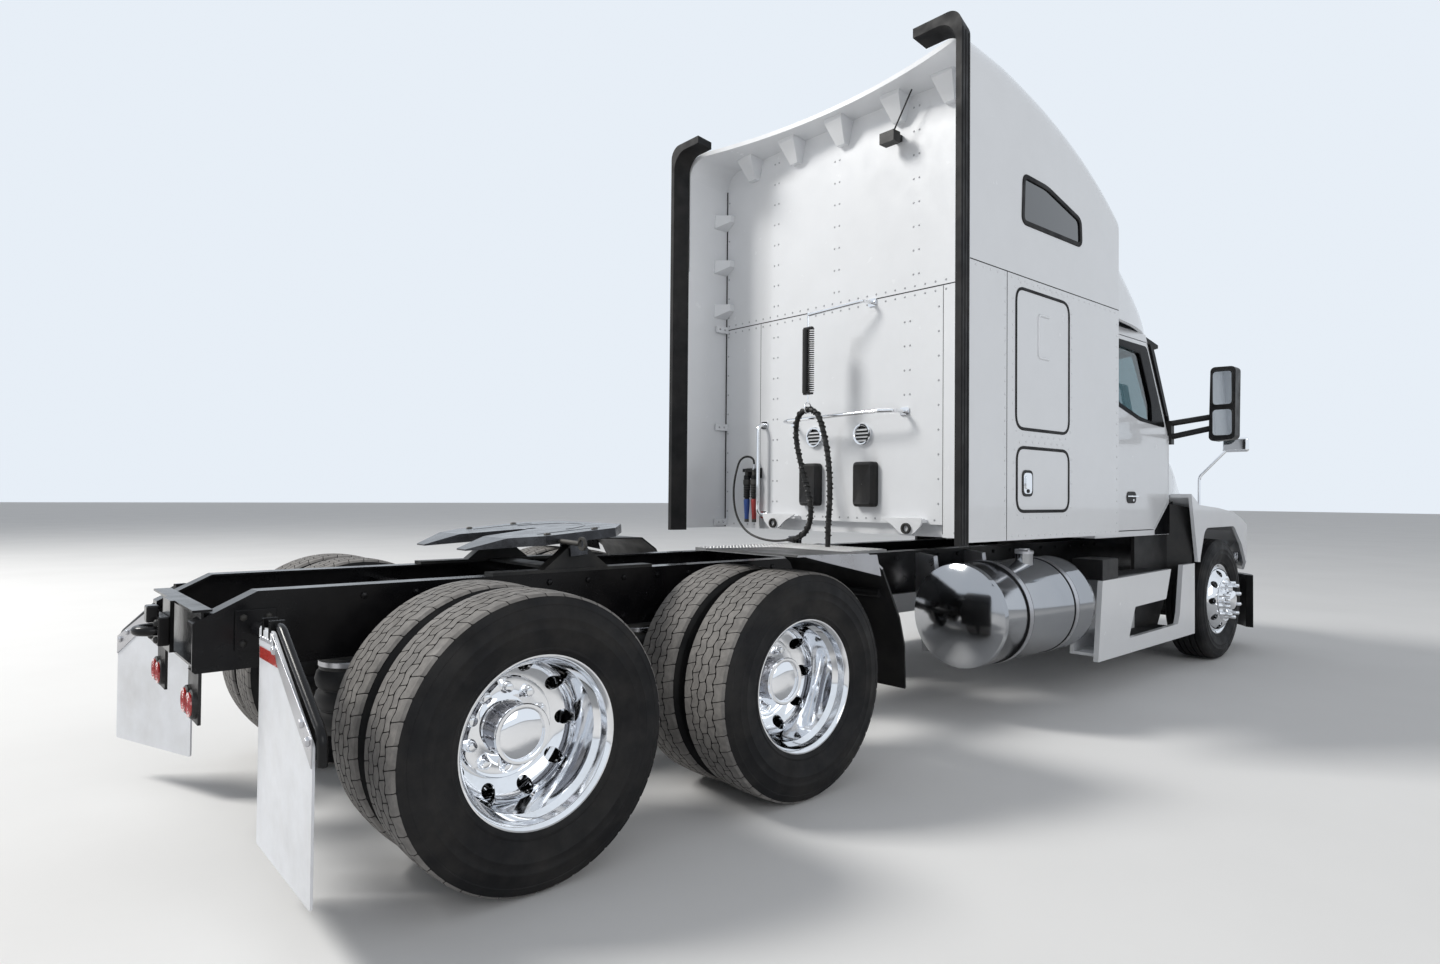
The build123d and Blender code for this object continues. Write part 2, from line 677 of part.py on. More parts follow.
def with_hinges(panel, edge_x, face_y, side, heights, on_door):
    """A panel or body wall together with its hinge barrels."""
    for knuckle_piece in hinge_knuckles(edge_x, face_y, side, heights, on_door):
        panel += knuckle_piece
    return panel


# Body: cab, sleeper and roof
ROOF_REAR_ROWS = [
    # x, half width, top, shoulder radius, crown
    (SLEEPER_REAR_X, SLEEPER_SIDE_Y, ROOF_REAR_Z, ROOF_CORNER_R, 20),
    (2900, SLEEPER_SIDE_Y, 3795, ROOF_CORNER_R, 30),
    (3400, SLEEPER_SIDE_Y, 3610, ROOF_CORNER_R, 50),
    (SLEEPER_FRONT_X, SLEEPER_SIDE_Y, 3400, ROOF_CORNER_R, 60),
]
ROOF_FRONT_ROWS = [
    (3650, 1150, 3440, 300, 70),
    (4200, 1100, 3150, 280, 80),
    (4650, 1030, 2900, 200, 80),
    (4930, 930, 2735, 60, 40),
]
LIP_ROWS = [
    (EXTENDER_REAR_X, SLEEPER_SIDE_Y, LIP_REAR_Z, ROOF_CORNER_R, 20),
    (SLEEPER_REAR_X, SLEEPER_SIDE_Y, ROOF_REAR_Z, ROOF_CORNER_R, 20),
]
ROOF_WINDOW = [(2482, 3262), (2469, 2984), (3209, 2994), (3198, 3156), (2760, 3256)]


def roof_window_prism(side, grow):
    """The roof side window's outline, through one side wall."""
    middle_x = sum(x for x, z in ROOF_WINDOW) / len(ROOF_WINDOW)
    middle_z = sum(z for x, z in ROOF_WINDOW) / len(ROOF_WINDOW)
    points = []
    for x, z in ROOF_WINDOW:
        reach = hypot(x - middle_x, z - middle_z)
        points.append((x + grow * (x - middle_x) / reach, z + grow * (z - middle_z) / reach))
    y = side * SLEEPER_SIDE_Y
    return side_prism(points, y - 60, y + 60, 40)


def make_roof_fairing():
    """One moulded shell over sleeper and cab, open below, with the upper rear wall and window openings."""
    outer = hoop_loft(ROOF_REAR_ROWS, ROOF_SEAM_Z) + hoop_loft(ROOF_FRONT_ROWS, ROOF_SEAM_Z)
    rear_rows = list(ROOF_REAR_ROWS)
    rear_rows[0] = (SLEEPER_REAR_X + BODY_WALL,) + rear_rows[0][1:]
    rear_rows[-1] = (SLEEPER_FRONT_X - PANEL_WALL,) + rear_rows[-1][1:]
    front_rows = list(ROOF_FRONT_ROWS)
    front_rows[-1] = (front_rows[-1][0] - PANEL_WALL,) + front_rows[-1][1:]
    open_z = ROOF_SEAM_Z - 10
    inner = hoop_loft(rear_rows, open_z, PANEL_WALL) + hoop_loft(front_rows, open_z, PANEL_WALL)
    shell = outer - inner
    for side in (-1, 1):
        shell -= roof_window_prism(side, 0)
    return [shell]


def sleeper_door_prism(door, side, gap, depth):
    """A baggage door's outline with rounded corners, cut back by gap on every edge."""
    x0, x1, z0, z1, radius = door
    points = [(x0 + gap, z0 + gap), (x1 - gap, z0 + gap), (x1 - gap, z1 - gap), (x0 + gap, z1 - gap)]
    if side < 0:
        return side_prism(points, -SLEEPER_SIDE_Y, depth - SLEEPER_SIDE_Y, radius - gap)
    return side_prism(points, SLEEPER_SIDE_Y - depth, SLEEPER_SIDE_Y, radius - gap)


def make_sleeper_shell():
    """The sleeper's lower box: floor, rear wall, sides with door openings and a front bulkhead."""
    w = SLEEPER_SIDE_Y
    outer = box(SLEEPER_REAR_X, SLEEPER_FRONT_X, -w, w, SLEEPER_BOTTOM_Z, ROOF_SEAM_Z)
    notch_z = SLEEPER_BOTTOM_Z + REAR_WALL_RAISE
    outer -= box(SLEEPER_REAR_X - 5, SLEEPER_REAR_X + BODY_WALL, -REAR_WALL_CORNER_Y, REAR_WALL_CORNER_Y,
                 SLEEPER_BOTTOM_Z - 5, notch_z)
    inner_y = SLEEPER_SIDE_Y - BODY_WALL
    inner = box(SLEEPER_REAR_X + BODY_WALL, SLEEPER_FRONT_X - BODY_WALL, -inner_y, inner_y,
                notch_z + BODY_WALL, ROOF_SEAM_Z + 5)
    passage = box(SLEEPER_FRONT_X - 2 * BODY_WALL, SLEEPER_FRONT_X + 5, -PASSAGE_Y, PASSAGE_Y,
                  PASSAGE_BOTTOM_Z, ROOF_SEAM_Z + 5)
    shell = outer - inner - passage
    for side in (-1, 1):
        for door, heights in ((TALL_DOOR, TALL_HINGE_Z), (LOW_DOOR, LOW_HINGE_Z)):
            shell -= sleeper_door_prism(door, side, 0, BODY_WALL)
            shell = with_hinges(shell, door[1], SLEEPER_SIDE_Y, side, heights, False)
    return [shell]


def baggage_door(door, side, heights):
    panel = sleeper_door_prism(door, side, DOOR_GAP, BODY_WALL)
    return [with_hinges(panel, door[1], SLEEPER_SIDE_Y, side, heights, True)]


def make_side_extenders():
    """The lower side panels and the moulded hoop above them, its rear edge curved in plan."""
    lower = box(EXTENDER_REAR_X, SLEEPER_REAR_X, -SLEEPER_SIDE_Y, PANEL_WALL - SLEEPER_SIDE_Y,
                SLEEPER_BOTTOM_Z, ROOF_SEAM_Z)
    outer = hoop_loft(LIP_ROWS, ROOF_SEAM_Z)
    inner_rows = [(EXTENDER_REAR_X - 10,) + LIP_ROWS[0][1:], (SLEEPER_REAR_X + 10,) + LIP_ROWS[1][1:]]
    inner = hoop_loft(inner_rows, ROOF_SEAM_Z - 10, PANEL_WALL)
    hoop = outer - inner
    edge_r = (SLEEPER_SIDE_Y ** 2 + LIP_ARC_SAG ** 2) / (2 * LIP_ARC_SAG)
    edge_x = EXTENDER_REAR_X + LIP_ARC_SAG - edge_r
    hoop -= rod((edge_x, 0, ROOF_SEAM_Z + 400), (edge_x, 0, LIP_REAR_Z + 200), edge_r)
    whole = hoop + lower + flip(lower)
    for y in LIP_GUSSET_Y:
        whole += lip_gusset(y)
    for z in SIDE_GUSSET_Z:
        gusset = side_gusset(z)
        whole = whole + gusset + flip(gusset)
    return [whole]


def lip_gusset(y):
    """A hollow-looking wedge that narrows downward, from the lip's underside to the rear wall."""
    top_z = ROOF_REAR_Z - PANEL_WALL + 12
    low_z = top_z - GUSSET_HEIGHT
    half = GUSSET_WIDTH / 2
    foot = GUSSET_FOOT / 2
    wall_x = SLEEPER_REAR_X
    front = [
        (y - half, top_z + 25), (y + half, top_z + 25), (y + half, top_z),
        (y + foot, low_z), (y - foot, low_z), (y - half, top_z),
    ]
    block = front_prism(front, wall_x - GUSSET_DEPTH, wall_x)
    slope = [
        (wall_x, top_z + 25), (wall_x - GUSSET_DEPTH, top_z + 25), (wall_x - GUSSET_DEPTH, top_z - 10),
        (wall_x - 45, low_z), (wall_x, low_z),
    ]
    return (block & side_prism(slope, y - half, y + half)) - roof_side_of_lip()


def side_gusset(z):
    """The same wedge turned on its side, from the right side panel to the rear wall."""
    panel_y = -SLEEPER_SIDE_Y + PANEL_WALL
    half = GUSSET_WIDTH / 2
    foot = GUSSET_FOOT / 2
    wall_x = SLEEPER_REAR_X
    reach = GUSSET_HEIGHT * 0.6
    plan = [
        (wall_x, panel_y - 8), (wall_x - GUSSET_DEPTH, panel_y - 8), (wall_x - GUSSET_DEPTH, panel_y + 8),
        (wall_x - 45, panel_y + reach), (wall_x, panel_y + reach),
    ]
    block = plan_prism(plan, z - half, z + half)
    front = [
        (panel_y - 8, z + foot), (panel_y + reach, z + foot),
        (panel_y + reach, z - foot * 0.4), (panel_y - 8, z - half),
    ]
    return block & front_prism(front, wall_x - GUSSET_DEPTH, wall_x)


def roof_side_of_lip():
    """What lies above the lip's outer face, so that a gusset stops inside the lip."""
    outer = hoop_loft(LIP_ROWS, ROOF_SEAM_Z, PANEL_WALL / 2)
    w = SLEEPER_SIDE_Y
    return box(EXTENDER_REAR_X - 50, SLEEPER_REAR_X, -w, w, ROOF_SEAM_Z + 800, 4200) - outer


def edge_rows(inset, drop):
    """Rows for the rubber edge round the body's rear: flared toward its rear."""
    w = SLEEPER_SIDE_Y - inset
    radius = EDGE_CAP_R + inset
    return [
        (EDGE_STRIP_REAR_X, w + EDGE_STRIP_FLARE, EDGE_CAP_Z - drop, radius, 4),
        (EXTENDER_REAR_X, w, EDGE_CAP_Z - 15 - drop, radius, 4),
    ]


def make_edge_strips():
    """Rubber strips on the side panels' rear edges, each turning inward over the body's upper corner."""
    low = SLEEPER_BOTTOM_Z - 15
    outer = hoop_loft(edge_rows(0, 0), low)
    inner_rows = edge_rows(EDGE_STRIP_WALL, EDGE_CAP_WALL)
    inner_rows[0] = (EDGE_STRIP_REAR_X - 5,) + inner_rows[0][1:]
    inner_rows[1] = (EXTENDER_REAR_X + 5,) + inner_rows[1][1:]
    hoop = outer - hoop_loft(inner_rows, low - 10)
    return (hoop - box(1700, 2000, -EDGE_CAP_INNER_Y, EDGE_CAP_INNER_Y, low - 5, 4100)).solids()


def cab_level(z, half_width, pillar_x, front_x, inset):
    """A plan section of the cab: straight sides, then an arc across the front."""
    w = half_width - inset
    side_x = pillar_x - inset
    rear_x = SLEEPER_FRONT_X
    if inset > 0:
        rear_x = SLEEPER_FRONT_X - 50
    right = Line((rear_x, -w, z), (side_x, -w, z))
    front = ThreePointArc((side_x, -w, z), (front_x - inset, 0, z), (side_x, w, z))
    left = Line((side_x, w, z), (rear_x, w, z))
    rear = Line((rear_x, w, z), (rear_x, -w, z))
    return make_face([right, front, left, rear])


def cab_solid(inset):
    """The cab's outside drawn in by inset: an upright lower part and a glasshouse that leans in."""
    foot = cab_level(CAB_BOTTOM_Z + inset, CAB_SIDE_Y, PILLAR_FOOT_X, SCREEN_FOOT_X, inset)
    belt = cab_level(BELT_Z, CAB_SIDE_Y, PILLAR_FOOT_X, SCREEN_FOOT_X, inset)
    head = cab_level(ROOF_SEAM_Z + (inset > 0) * 5, CAB_TOP_Y, PILLAR_HEAD_X, SCREEN_HEAD_X, inset)
    return loft([foot, belt], ruled=True) + loft([belt, head], ruled=True)


def door_prism(side, gap):
    """The cab door's outline: rear edge upright, lower front corner cut, front edge along the pillar."""
    lean = (PILLAR_FOOT_X - PILLAR_HEAD_X) / (ROOF_SEAM_Z - BELT_Z)
    top_front = DOOR_FRONT_X - lean * (DOOR_TOP_Z - BELT_Z)
    points = [
        (DOOR_REAR_X + gap, DOOR_BOTTOM_Z + gap),
        (4802, DOOR_BOTTOM_Z + gap),
        (DOOR_FRONT_X - gap, 1336 + gap),
        (DOOR_FRONT_X - gap, BELT_Z),
        (top_front - gap, DOOR_TOP_Z - gap),
        (DOOR_REAR_X + gap, DOOR_TOP_Z - gap),
    ]
    if side < 0:
        return side_prism(points, -CAB_SIDE_Y - 60, -800)
    return side_prism(points, 800, CAB_SIDE_Y + 60)


def door_window_prism(side, grow):
    """The side window's outline in the door."""
    points = [
        (4180 - grow, 2525 + grow), (4190 - grow, 2075 - grow), (4560, 1985 - grow),
        (4790 + grow, 1960 - grow), (4800 + grow, 2100), (4650 + grow, 2500 + grow),
    ]
    if side < 0:
        return side_prism(points, -CAB_SIDE_Y - 60, -800, 30)
    return side_prism(points, 800, CAB_SIDE_Y + 60, 30)


def screen_prism(grow):
    """The windscreen's outline seen from the front."""
    points = [
        (-930 - grow, 1900 - grow), (930 + grow, 1900 - grow),
        (850 + grow, 2570 + grow), (-850 - grow, 2570 + grow),
    ]
    return front_prism(points, 4860, 5600, 60)


def cab_wall():
    return cab_solid(0) - cab_solid(BODY_WALL)


def make_cab_shell():
    """Cab walls, floor and firewall, with openings for doors and windscreen."""
    shell = cab_wall() - screen_prism(0)
    for side in (-1, 1):
        shell -= door_prism(side, 0)
        shell = with_hinges(shell, DOOR_FRONT_X, CAB_SIDE_Y, side, CAB_HINGE_Z, False)
    return [shell]


def door(side):
    wall = cab_wall() & door_prism(side, DOOR_GAP)
    panel = wall - door_window_prism(side, 0)
    return [with_hinges(panel, DOOR_FRONT_X, CAB_SIDE_Y, side, CAB_HINGE_Z, True)]


def glass_skin():
    return cab_solid(GLASS_INSET) - cab_solid(GLASS_INSET + GLASS_WALL)


def door_glass(side):
    return [glass_skin() & door_window_prism(side, 0)]


def make_cab_glass():
    """Windscreen and the two dark windows in the roof's sides."""
    pieces = [glass_skin() & screen_prism(0)]
    pane_y = SLEEPER_SIDE_Y - 6
    for side in (-1, 1):
        y0 = side * pane_y - GLASS_WALL / 2
        slab = box(2300, 3400, y0, y0 + GLASS_WALL, 2900, 3400)
        pieces.append(slab & roof_window_prism(side, 0))
    return pieces


def seat(y):
    """One cab seat on its pedestal: cushion, back and headrest."""
    floor = CAB_BOTTOM_Z + BODY_WALL
    base = box(4330, 4700, y - 170, y + 170, floor, floor + 300)
    cushion = box(4270, 4790, y - 250, y + 250, floor + 300, floor + 440)
    cushion = fillet(cushion.edges().filter_by(Axis.Y), 50)
    back_line = [(4290, floor + 400), (4410, floor + 400), (4290, floor + 1130), (4190, floor + 1130)]
    back = side_prism(back_line, y - 240, y + 240, 35)
    return base + cushion + back


def make_seats():
    """Two cab seats, and the sleeper's bunk on its base."""
    floor = SLEEPER_BOTTOM_Z + REAR_WALL_RAISE + BODY_WALL
    bunk = box(SLEEPER_REAR_X + BODY_WALL + 5, 3050, -1150, 1150, floor, floor + 620)
    bunk = fillet(bunk.edges().filter_by(Axis.Y).sort_by(Axis.Z)[-2:], 60)
    return [seat(560), seat(-560), bunk]


def make_dashboard():
    """Dashboard across the cab under the windscreen, with the steering wheel and its column."""
    line = [(5010, 1560), (5330, 1640), (5330, 1790), (5060, 1880), (4960, 1800)]
    dash = side_prism(line, -980, 980, 30)
    foot = box(5120, 5330, -600, 600, CAB_BOTTOM_Z + BODY_WALL, 1640)
    wheel_plane = Plane(origin=(4870, 560, 1830), z_dir=(-0.62, 0, 0.78))
    ring = wheel_plane * Torus(215, 16)
    spokes = wheel_plane * Box(400, 50, 18) + wheel_plane * Box(50, 400, 18)
    column = rod((4870, 560, 1830), (5040, 560, 1616), 32)
    return [((dash + foot) & cab_solid(BODY_WALL + SEAT_GAP)) + ring + spokes + column]


# Outer pieces of the cab
def make_sun_visor():
    """The dark visor over the windscreen, sloping down ahead of the roof's front edge."""
    w = 985
    slab = side_prism([(4830, 2652), (5420, 2560), (5420, 2534), (4830, 2626)], -w, w)
    front = ThreePointArc((5080, -w, 2500), (5330, 0, 2500), (5080, w, 2500))
    rest = Polyline((5080, w, 2500), (4830, w, 2500), (4830, -w, 2500), (5080, -w, 2500))
    plan = extrude(make_face([front] + list(rest.edges())), amount=200, dir=(0, 0, 1))
    blade = (slab & plan) - cab_solid(0)
    return [blade.solids().sort_by(SortBy.VOLUME)[-1]]


def make_mirrors():
    """On each side: two arms from the door pillar's foot, a tall head and the arm plate."""
    plate = box(5098, 5160, -1078, -990, 1802, 1992) - cab_solid(0)
    upper = rod((5124, -1015, 1965), (5215, -1345, 2015), 23)
    lower = rod((5124, -1015, 1853), (5215, -1345, 1926), 23)
    arms = (upper + lower) - cab_solid(0)
    head_line = [(-1335, 1815), (-1520, 1830), (-1528, 2395), (-1350, 2400)]
    head = front_prism(head_line, 5150, 5265, 35)
    return both_sides(arms + head + plate)


def make_hood_mirrors():
    """A small wide mirror on a bent arm at the top of each fender."""
    arm = bent_rod([(6060, -960, 1180), (6060, -960, 1560), (6160, -1150, 1800)], 13, 70) - fender_solid(0, 0)
    head = Pos(6168, -1218, 1842) * Box(56, 205, 128)
    head = fillet(head.edges(), 22)
    return both_sides(arm + head)


def hood_rows():
    return [
        (5080, 1045, 1815, 190, 50),
        (5700, 905, 1650, 200, 60),
        (6300, 750, 1490, 200, 60),
        (6760, 640, 1330, 180, 50),
        (HOOD_FRONT_X, 540, 1165, 80, 20),
    ]


def fender_solid(inset, outer):
    """Both fenders' outer form: side outline swept across, cut to the plan's curved front corner."""
    side_line = [
        (FENDER_REAR_X - 140, 1400 - inset), (FENDER_REAR_X + 40, 1312 - inset),
        (5700, 1288 - inset), (6060, 1252 - inset),
        (6300, 1190 - inset), (6500, 1100 - inset), (6640, 1005 - inset), (6800, 925 - inset),
        (HOOD_FRONT_X - inset, 900 - inset), (HOOD_FRONT_X - inset, HOOD_NOSE_BOTTOM_Z - outer),
        (6560, HOOD_NOSE_BOTTOM_Z - outer), (6480, FENDER_REAR_Z - 60),
        (FENDER_REAR_X + inset, FENDER_REAR_Z - outer),
    ]
    w = FENDER_SIDE_Y - inset
    block = side_prism(side_line, -w, w)
    nose = HOOD_FRONT_X - inset
    right_arc = ThreePointArc((6420, -w, 600), (6790, -w + 260, 600), (nose, -480, 600))
    nose_line = Line(right_arc @ 1, (nose, 480, 600))
    left_arc = ThreePointArc(nose_line @ 1, (6790, w - 260, 600), (6420, w, 600))
    back = Polyline((6420, w, 600), (5000, w, 600), (5000, -w, 600), (6420, -w, 600))
    plan = make_face([right_arc, nose_line, left_arc] + list(back.edges()))
    return block & extrude(plan, amount=1400, dir=(0, 0, 1))


def pivot_lug(y):
    """The hood's bored lug on one pivot pin, below the edge of its nose."""
    y0 = y - PIVOT_LUG_HALF
    y1 = y + PIVOT_LUG_HALF
    lug = box(HOOD_PIVOT_X - PIVOT_LUG_R, HOOD_FRONT_X, y0, y1, HOOD_PIVOT_Z, HOOD_NOSE_BOTTOM_Z + 30)
    lug += rod((HOOD_PIVOT_X, y0, HOOD_PIVOT_Z), (HOOD_PIVOT_X, y1, HOOD_PIVOT_Z), PIVOT_LUG_R)
    near = (HOOD_PIVOT_X, y0, HOOD_PIVOT_Z)
    far = (HOOD_PIVOT_X, y1, HOOD_PIVOT_Z)
    return lug - rod(near, far, PIVOT_PIN_R + PIN_GAP)


def pivot_cheeks(y):
    """Two cheeks with the pivot pin between them, standing on the bumper's arm."""
    inner = PIVOT_LUG_HALF + SEAT_GAP
    outer = inner + PIVOT_CHEEK_WALL
    cheek_r = PIVOT_LUG_R - 2
    x = HOOD_PIVOT_X
    cheeks = rod((x, y - outer, HOOD_PIVOT_Z), (x, y + outer, HOOD_PIVOT_Z), PIVOT_PIN_R)
    for low, high in ((-outer, -inner), (inner, outer)):
        cheeks += box(x - cheek_r, x + cheek_r, y + low, y + high, BUMPER_TOP_Z - 60, HOOD_PIVOT_Z)
        cheeks += rod((x, y + low, HOOD_PIVOT_Z), (x, y + high, HOOD_PIVOT_Z), cheek_r)
    return cheeks


ARCH_LINE = [
    # x, z of the wheel arch, flattened over the tyre
    (5262, 400), (5292, 880), (5400, 1125), (6090, 1128), (6290, 960), (6470, 690), (6470, 400),
]


def make_hood():
    """Hood and fenders as one moulded shell, open below and toward the cab."""
    outer = hoop_loft(hood_rows(), HOOD_SIDE_BOTTOM_Z) + fender_solid(0, 0)
    inner_rows = hood_rows()
    inner_rows[0] = (5000,) + inner_rows[0][1:]
    inner_rows[-1] = (HOOD_FRONT_X - HOOD_WALL,) + inner_rows[-1][1:]
    inner = hoop_loft(inner_rows, HOOD_SIDE_BOTTOM_Z - 200, HOOD_WALL) + fender_solid(HOOD_WALL, 200)
    shell = outer - inner
    shell -= cab_solid(-HOOD_REAR_GAP)
    shell -= side_prism(ARCH_LINE, -FENDER_SIDE_Y - 50, FENDER_SIDE_Y + 50, ARCH_CORNER_R)
    opening = front_prism([
        (-GRILLE_HALF_WIDTH, GRILLE_BOTTOM_Z), (GRILLE_HALF_WIDTH, GRILLE_BOTTOM_Z),
        (GRILLE_HALF_WIDTH, GRILLE_TOP_Z), (-GRILLE_HALF_WIDTH, GRILLE_TOP_Z)], 6900, 7060, 40)
    shell -= opening
    for side in (-1, 1):
        shell -= lamp_prism(side)
    shell = shell.solids().sort_by(SortBy.VOLUME)[-1]
    for side in (-1, 1):
        shell += pivot_lug(side * HOOD_PIVOT_Y)
    return [shell]


def lamp_prism(side):
    """The headlamp's outline seen from the front, through the fender's corner."""
    points = [(side * 640, 765), (side * 1150, 790), (side * 1150, 880), (side * 700, 860)]
    return front_prism(points, 6480, 7060, 25)


def make_headlamps():
    pieces = []
    skin = fender_solid(4, 0) - fender_solid(HOOD_WALL + 40, 100)
    for side in (-1, 1):
        pieces.append(skin & lamp_prism(side))
    return pieces


def make_grille():
    """A frame with level bars, set in the nose."""
    x0 = HOOD_FRONT_X - HOOD_WALL - 6
    x1 = HOOD_FRONT_X - 4
    corners = [
        (-GRILLE_HALF_WIDTH, GRILLE_BOTTOM_Z), (GRILLE_HALF_WIDTH, GRILLE_BOTTOM_Z),
        (GRILLE_HALF_WIDTH, GRILLE_TOP_Z), (-GRILLE_HALF_WIDTH, GRILLE_TOP_Z),
    ]
    frame = front_prism(corners, x0, x1, 40)
    half = GRILLE_HALF_WIDTH * 0.93
    low = GRILLE_BOTTOM_Z + 20
    high = GRILLE_TOP_Z - 20
    mouth = [(-half, low), (half, low), (half, high), (-half, high)]
    frame -= front_prism(mouth, x0 - 5, x1 + 5, 25)
    pitch = (GRILLE_TOP_Z - GRILLE_BOTTOM_Z) / (GRILLE_BARS + 1)
    for number in range(1, GRILLE_BARS + 1):
        z = GRILLE_BOTTOM_Z + number * pitch
        frame += box(x0 + 4, x1 - 4, -GRILLE_HALF_WIDTH + 20, GRILLE_HALF_WIDTH - 20, z - 7, z + 7)
    return [frame]


def make_bumper():
    """A bumper that curves back at its ends, carried by two arms on the rails."""
    z0 = BUMPER_BOTTOM_Z
    height = BUMPER_TOP_Z - BUMPER_BOTTOM_Z

    def plan(inset):
        right = ThreePointArc((BUMPER_END_X, -BUMPER_END_Y + inset, z0), (6870 - inset, -1060 + inset, z0),
                              (6975 - inset, -760, z0))
        middle = ThreePointArc(right @ 1, (BUMPER_FRONT_X - inset, 0, z0), (6975 - inset, 760, z0))
        left_end = (BUMPER_END_X, BUMPER_END_Y - inset, z0)
        left = ThreePointArc(middle @ 1, (6870 - inset, 1060 - inset, z0), left_end)
        back = Line(left @ 1, right @ 0)
        return make_face([right, middle, left, back])

    up = (0, 0, 1)
    skin = extrude(plan(0), amount=height, dir=up) - extrude(plan(BUMPER_WALL), amount=height, dir=up)
    for side in (-1, 1):
        y = side * HOOD_PIVOT_Y
        skin += box(FRAME_FRONT_X, BUMPER_FRONT_X - BUMPER_WALL - 10, y - 40, y + 40, 440, 640)
        skin += box(FRAME_FRONT_X, FRAME_FRONT_X + 30, y - 44, y + 44, 440, RAIL_TOP - 5)
        skin += pivot_cheeks(y)
    return [skin]


# Tanks, steps, deck and rear fenders
def make_fuel_tanks():
    """A round tank with domed ends and a filler on each side."""
    ball_r = (TANK_R ** 2 + TANK_DOME ** 2) / (2 * TANK_DOME)
    half_angle = asin(TANK_R / ball_r) / 2
    mid_x = ball_r * (1 - cos(half_angle)) - TANK_DOME
    mid_r = ball_r * sin(half_angle)
    rear_tip = (TANK_REAR_X - TANK_DOME, 0, 0)
    front_tip = (TANK_FRONT_X + TANK_DOME, 0, 0)
    rear = ThreePointArc(rear_tip, (TANK_REAR_X + mid_x, mid_r, 0), (TANK_REAR_X, TANK_R, 0))
    side = Line(rear @ 1, (TANK_FRONT_X, TANK_R, 0))
    front = ThreePointArc(side @ 1, (TANK_FRONT_X - mid_x, mid_r, 0), front_tip)
    middle = Line(front @ 1, rear @ 0)
    tank = revolve(make_face([rear, side, front, middle]), Axis.X)
    filler = rod((2900, -80, TANK_R - 40), (2900, -80, TANK_R + 42), 55)
    return both_sides(Pos(0, -TANK_Y, TANK_Z) * (tank + filler))


def make_tank_straps():
    """Straps round each tank, with the brackets that hang it from the rail."""
    unit = None
    rail_y = -FRAME_WIDTH / 2
    for x in STRAP_X:
        x0 = x - STRAP_WIDTH / 2
        x1 = x + STRAP_WIDTH / 2
        ring = rod((x0, -TANK_Y, TANK_Z), (x1, -TANK_Y, TANK_Z), TANK_R + STRAP_WALL)
        bracket_line = [
            (rail_y, RAIL_TOP - 12), (rail_y - 140, RAIL_TOP - 30), (rail_y - 182, TANK_Z),
            (rail_y - 260, TANK_Z - 290), (rail_y - 60, TANK_Z - 300), (rail_y, RAIL_TOP - RAIL_DEPTH + 10),
        ]
        bracket = front_prism(bracket_line, x0, x1)
        piece = ring + bracket
        piece -= rod((x - 99, -TANK_Y, TANK_Z), (x + 99, -TANK_Y, TANK_Z), TANK_R)
        unit = piece if unit is None else unit + piece
    return [s for s in unit.solids()] + [flip(s) for s in unit.solids()]


def step_recess():
    """The opening over the lower tread, which runs up to the top ahead of the upper tread."""
    line = [
        (3990, LOW_TREAD_Z + 6), (4889, LOW_TREAD_Z + 22), (4925, 470), (5000, 900), (4785, 900),
        (4655, 600), (4100, 585),
    ]
    return side_prism(line, -STEP_SIDE_Y - 5, STEP_WALL - STEP_SIDE_Y + 5, 14)


def make_side_steps():
    """The fairing below each door, open over its lower tread, with a riser and brackets from the rail."""
    outline = [
        (STEP_REAR_X + 30, STEP_TOP_Z), (STEP_REAR_X - 35, STEP_BOTTOM_Z),
        (STEP_FRONT_X, STEP_BOTTOM_Z + 18), (STEP_FRONT_X, FENDER_REAR_Z - 12),
        (5000, FENDER_REAR_Z - 14), (4785, STEP_TOP_Z + 22), (4700, STEP_TOP_Z + 20),
    ]
    panel = side_prism(outline, -STEP_SIDE_Y, STEP_WALL - STEP_SIDE_Y) - step_recess()
    floor = box(RISER_REAR_X, 5200, -STEP_SIDE_Y + 5, STEP_INNER_Y, STEP_FLOOR_Z - 20, STEP_FLOOR_Z)
    top_z = STEP_TOP_Z - TREAD_WALL + 14
    riser_line = [
        (RISER_REAR_X, STEP_FLOOR_Z - 6), (4600, STEP_FLOOR_Z - 6), (4600, 470), (4655, 620),
        (4740, top_z), (3600, top_z),
    ]
    riser = side_prism(riser_line, STEP_INNER_Y - 25, STEP_INNER_Y)
    fairing = panel + floor + riser
    for x in STEP_BRACKET_X:
        fairing += box(x, x + 60, STEP_INNER_Y - 10, -FRAME_WIDTH / 2, 740, 780)
    return both_sides(fairing)


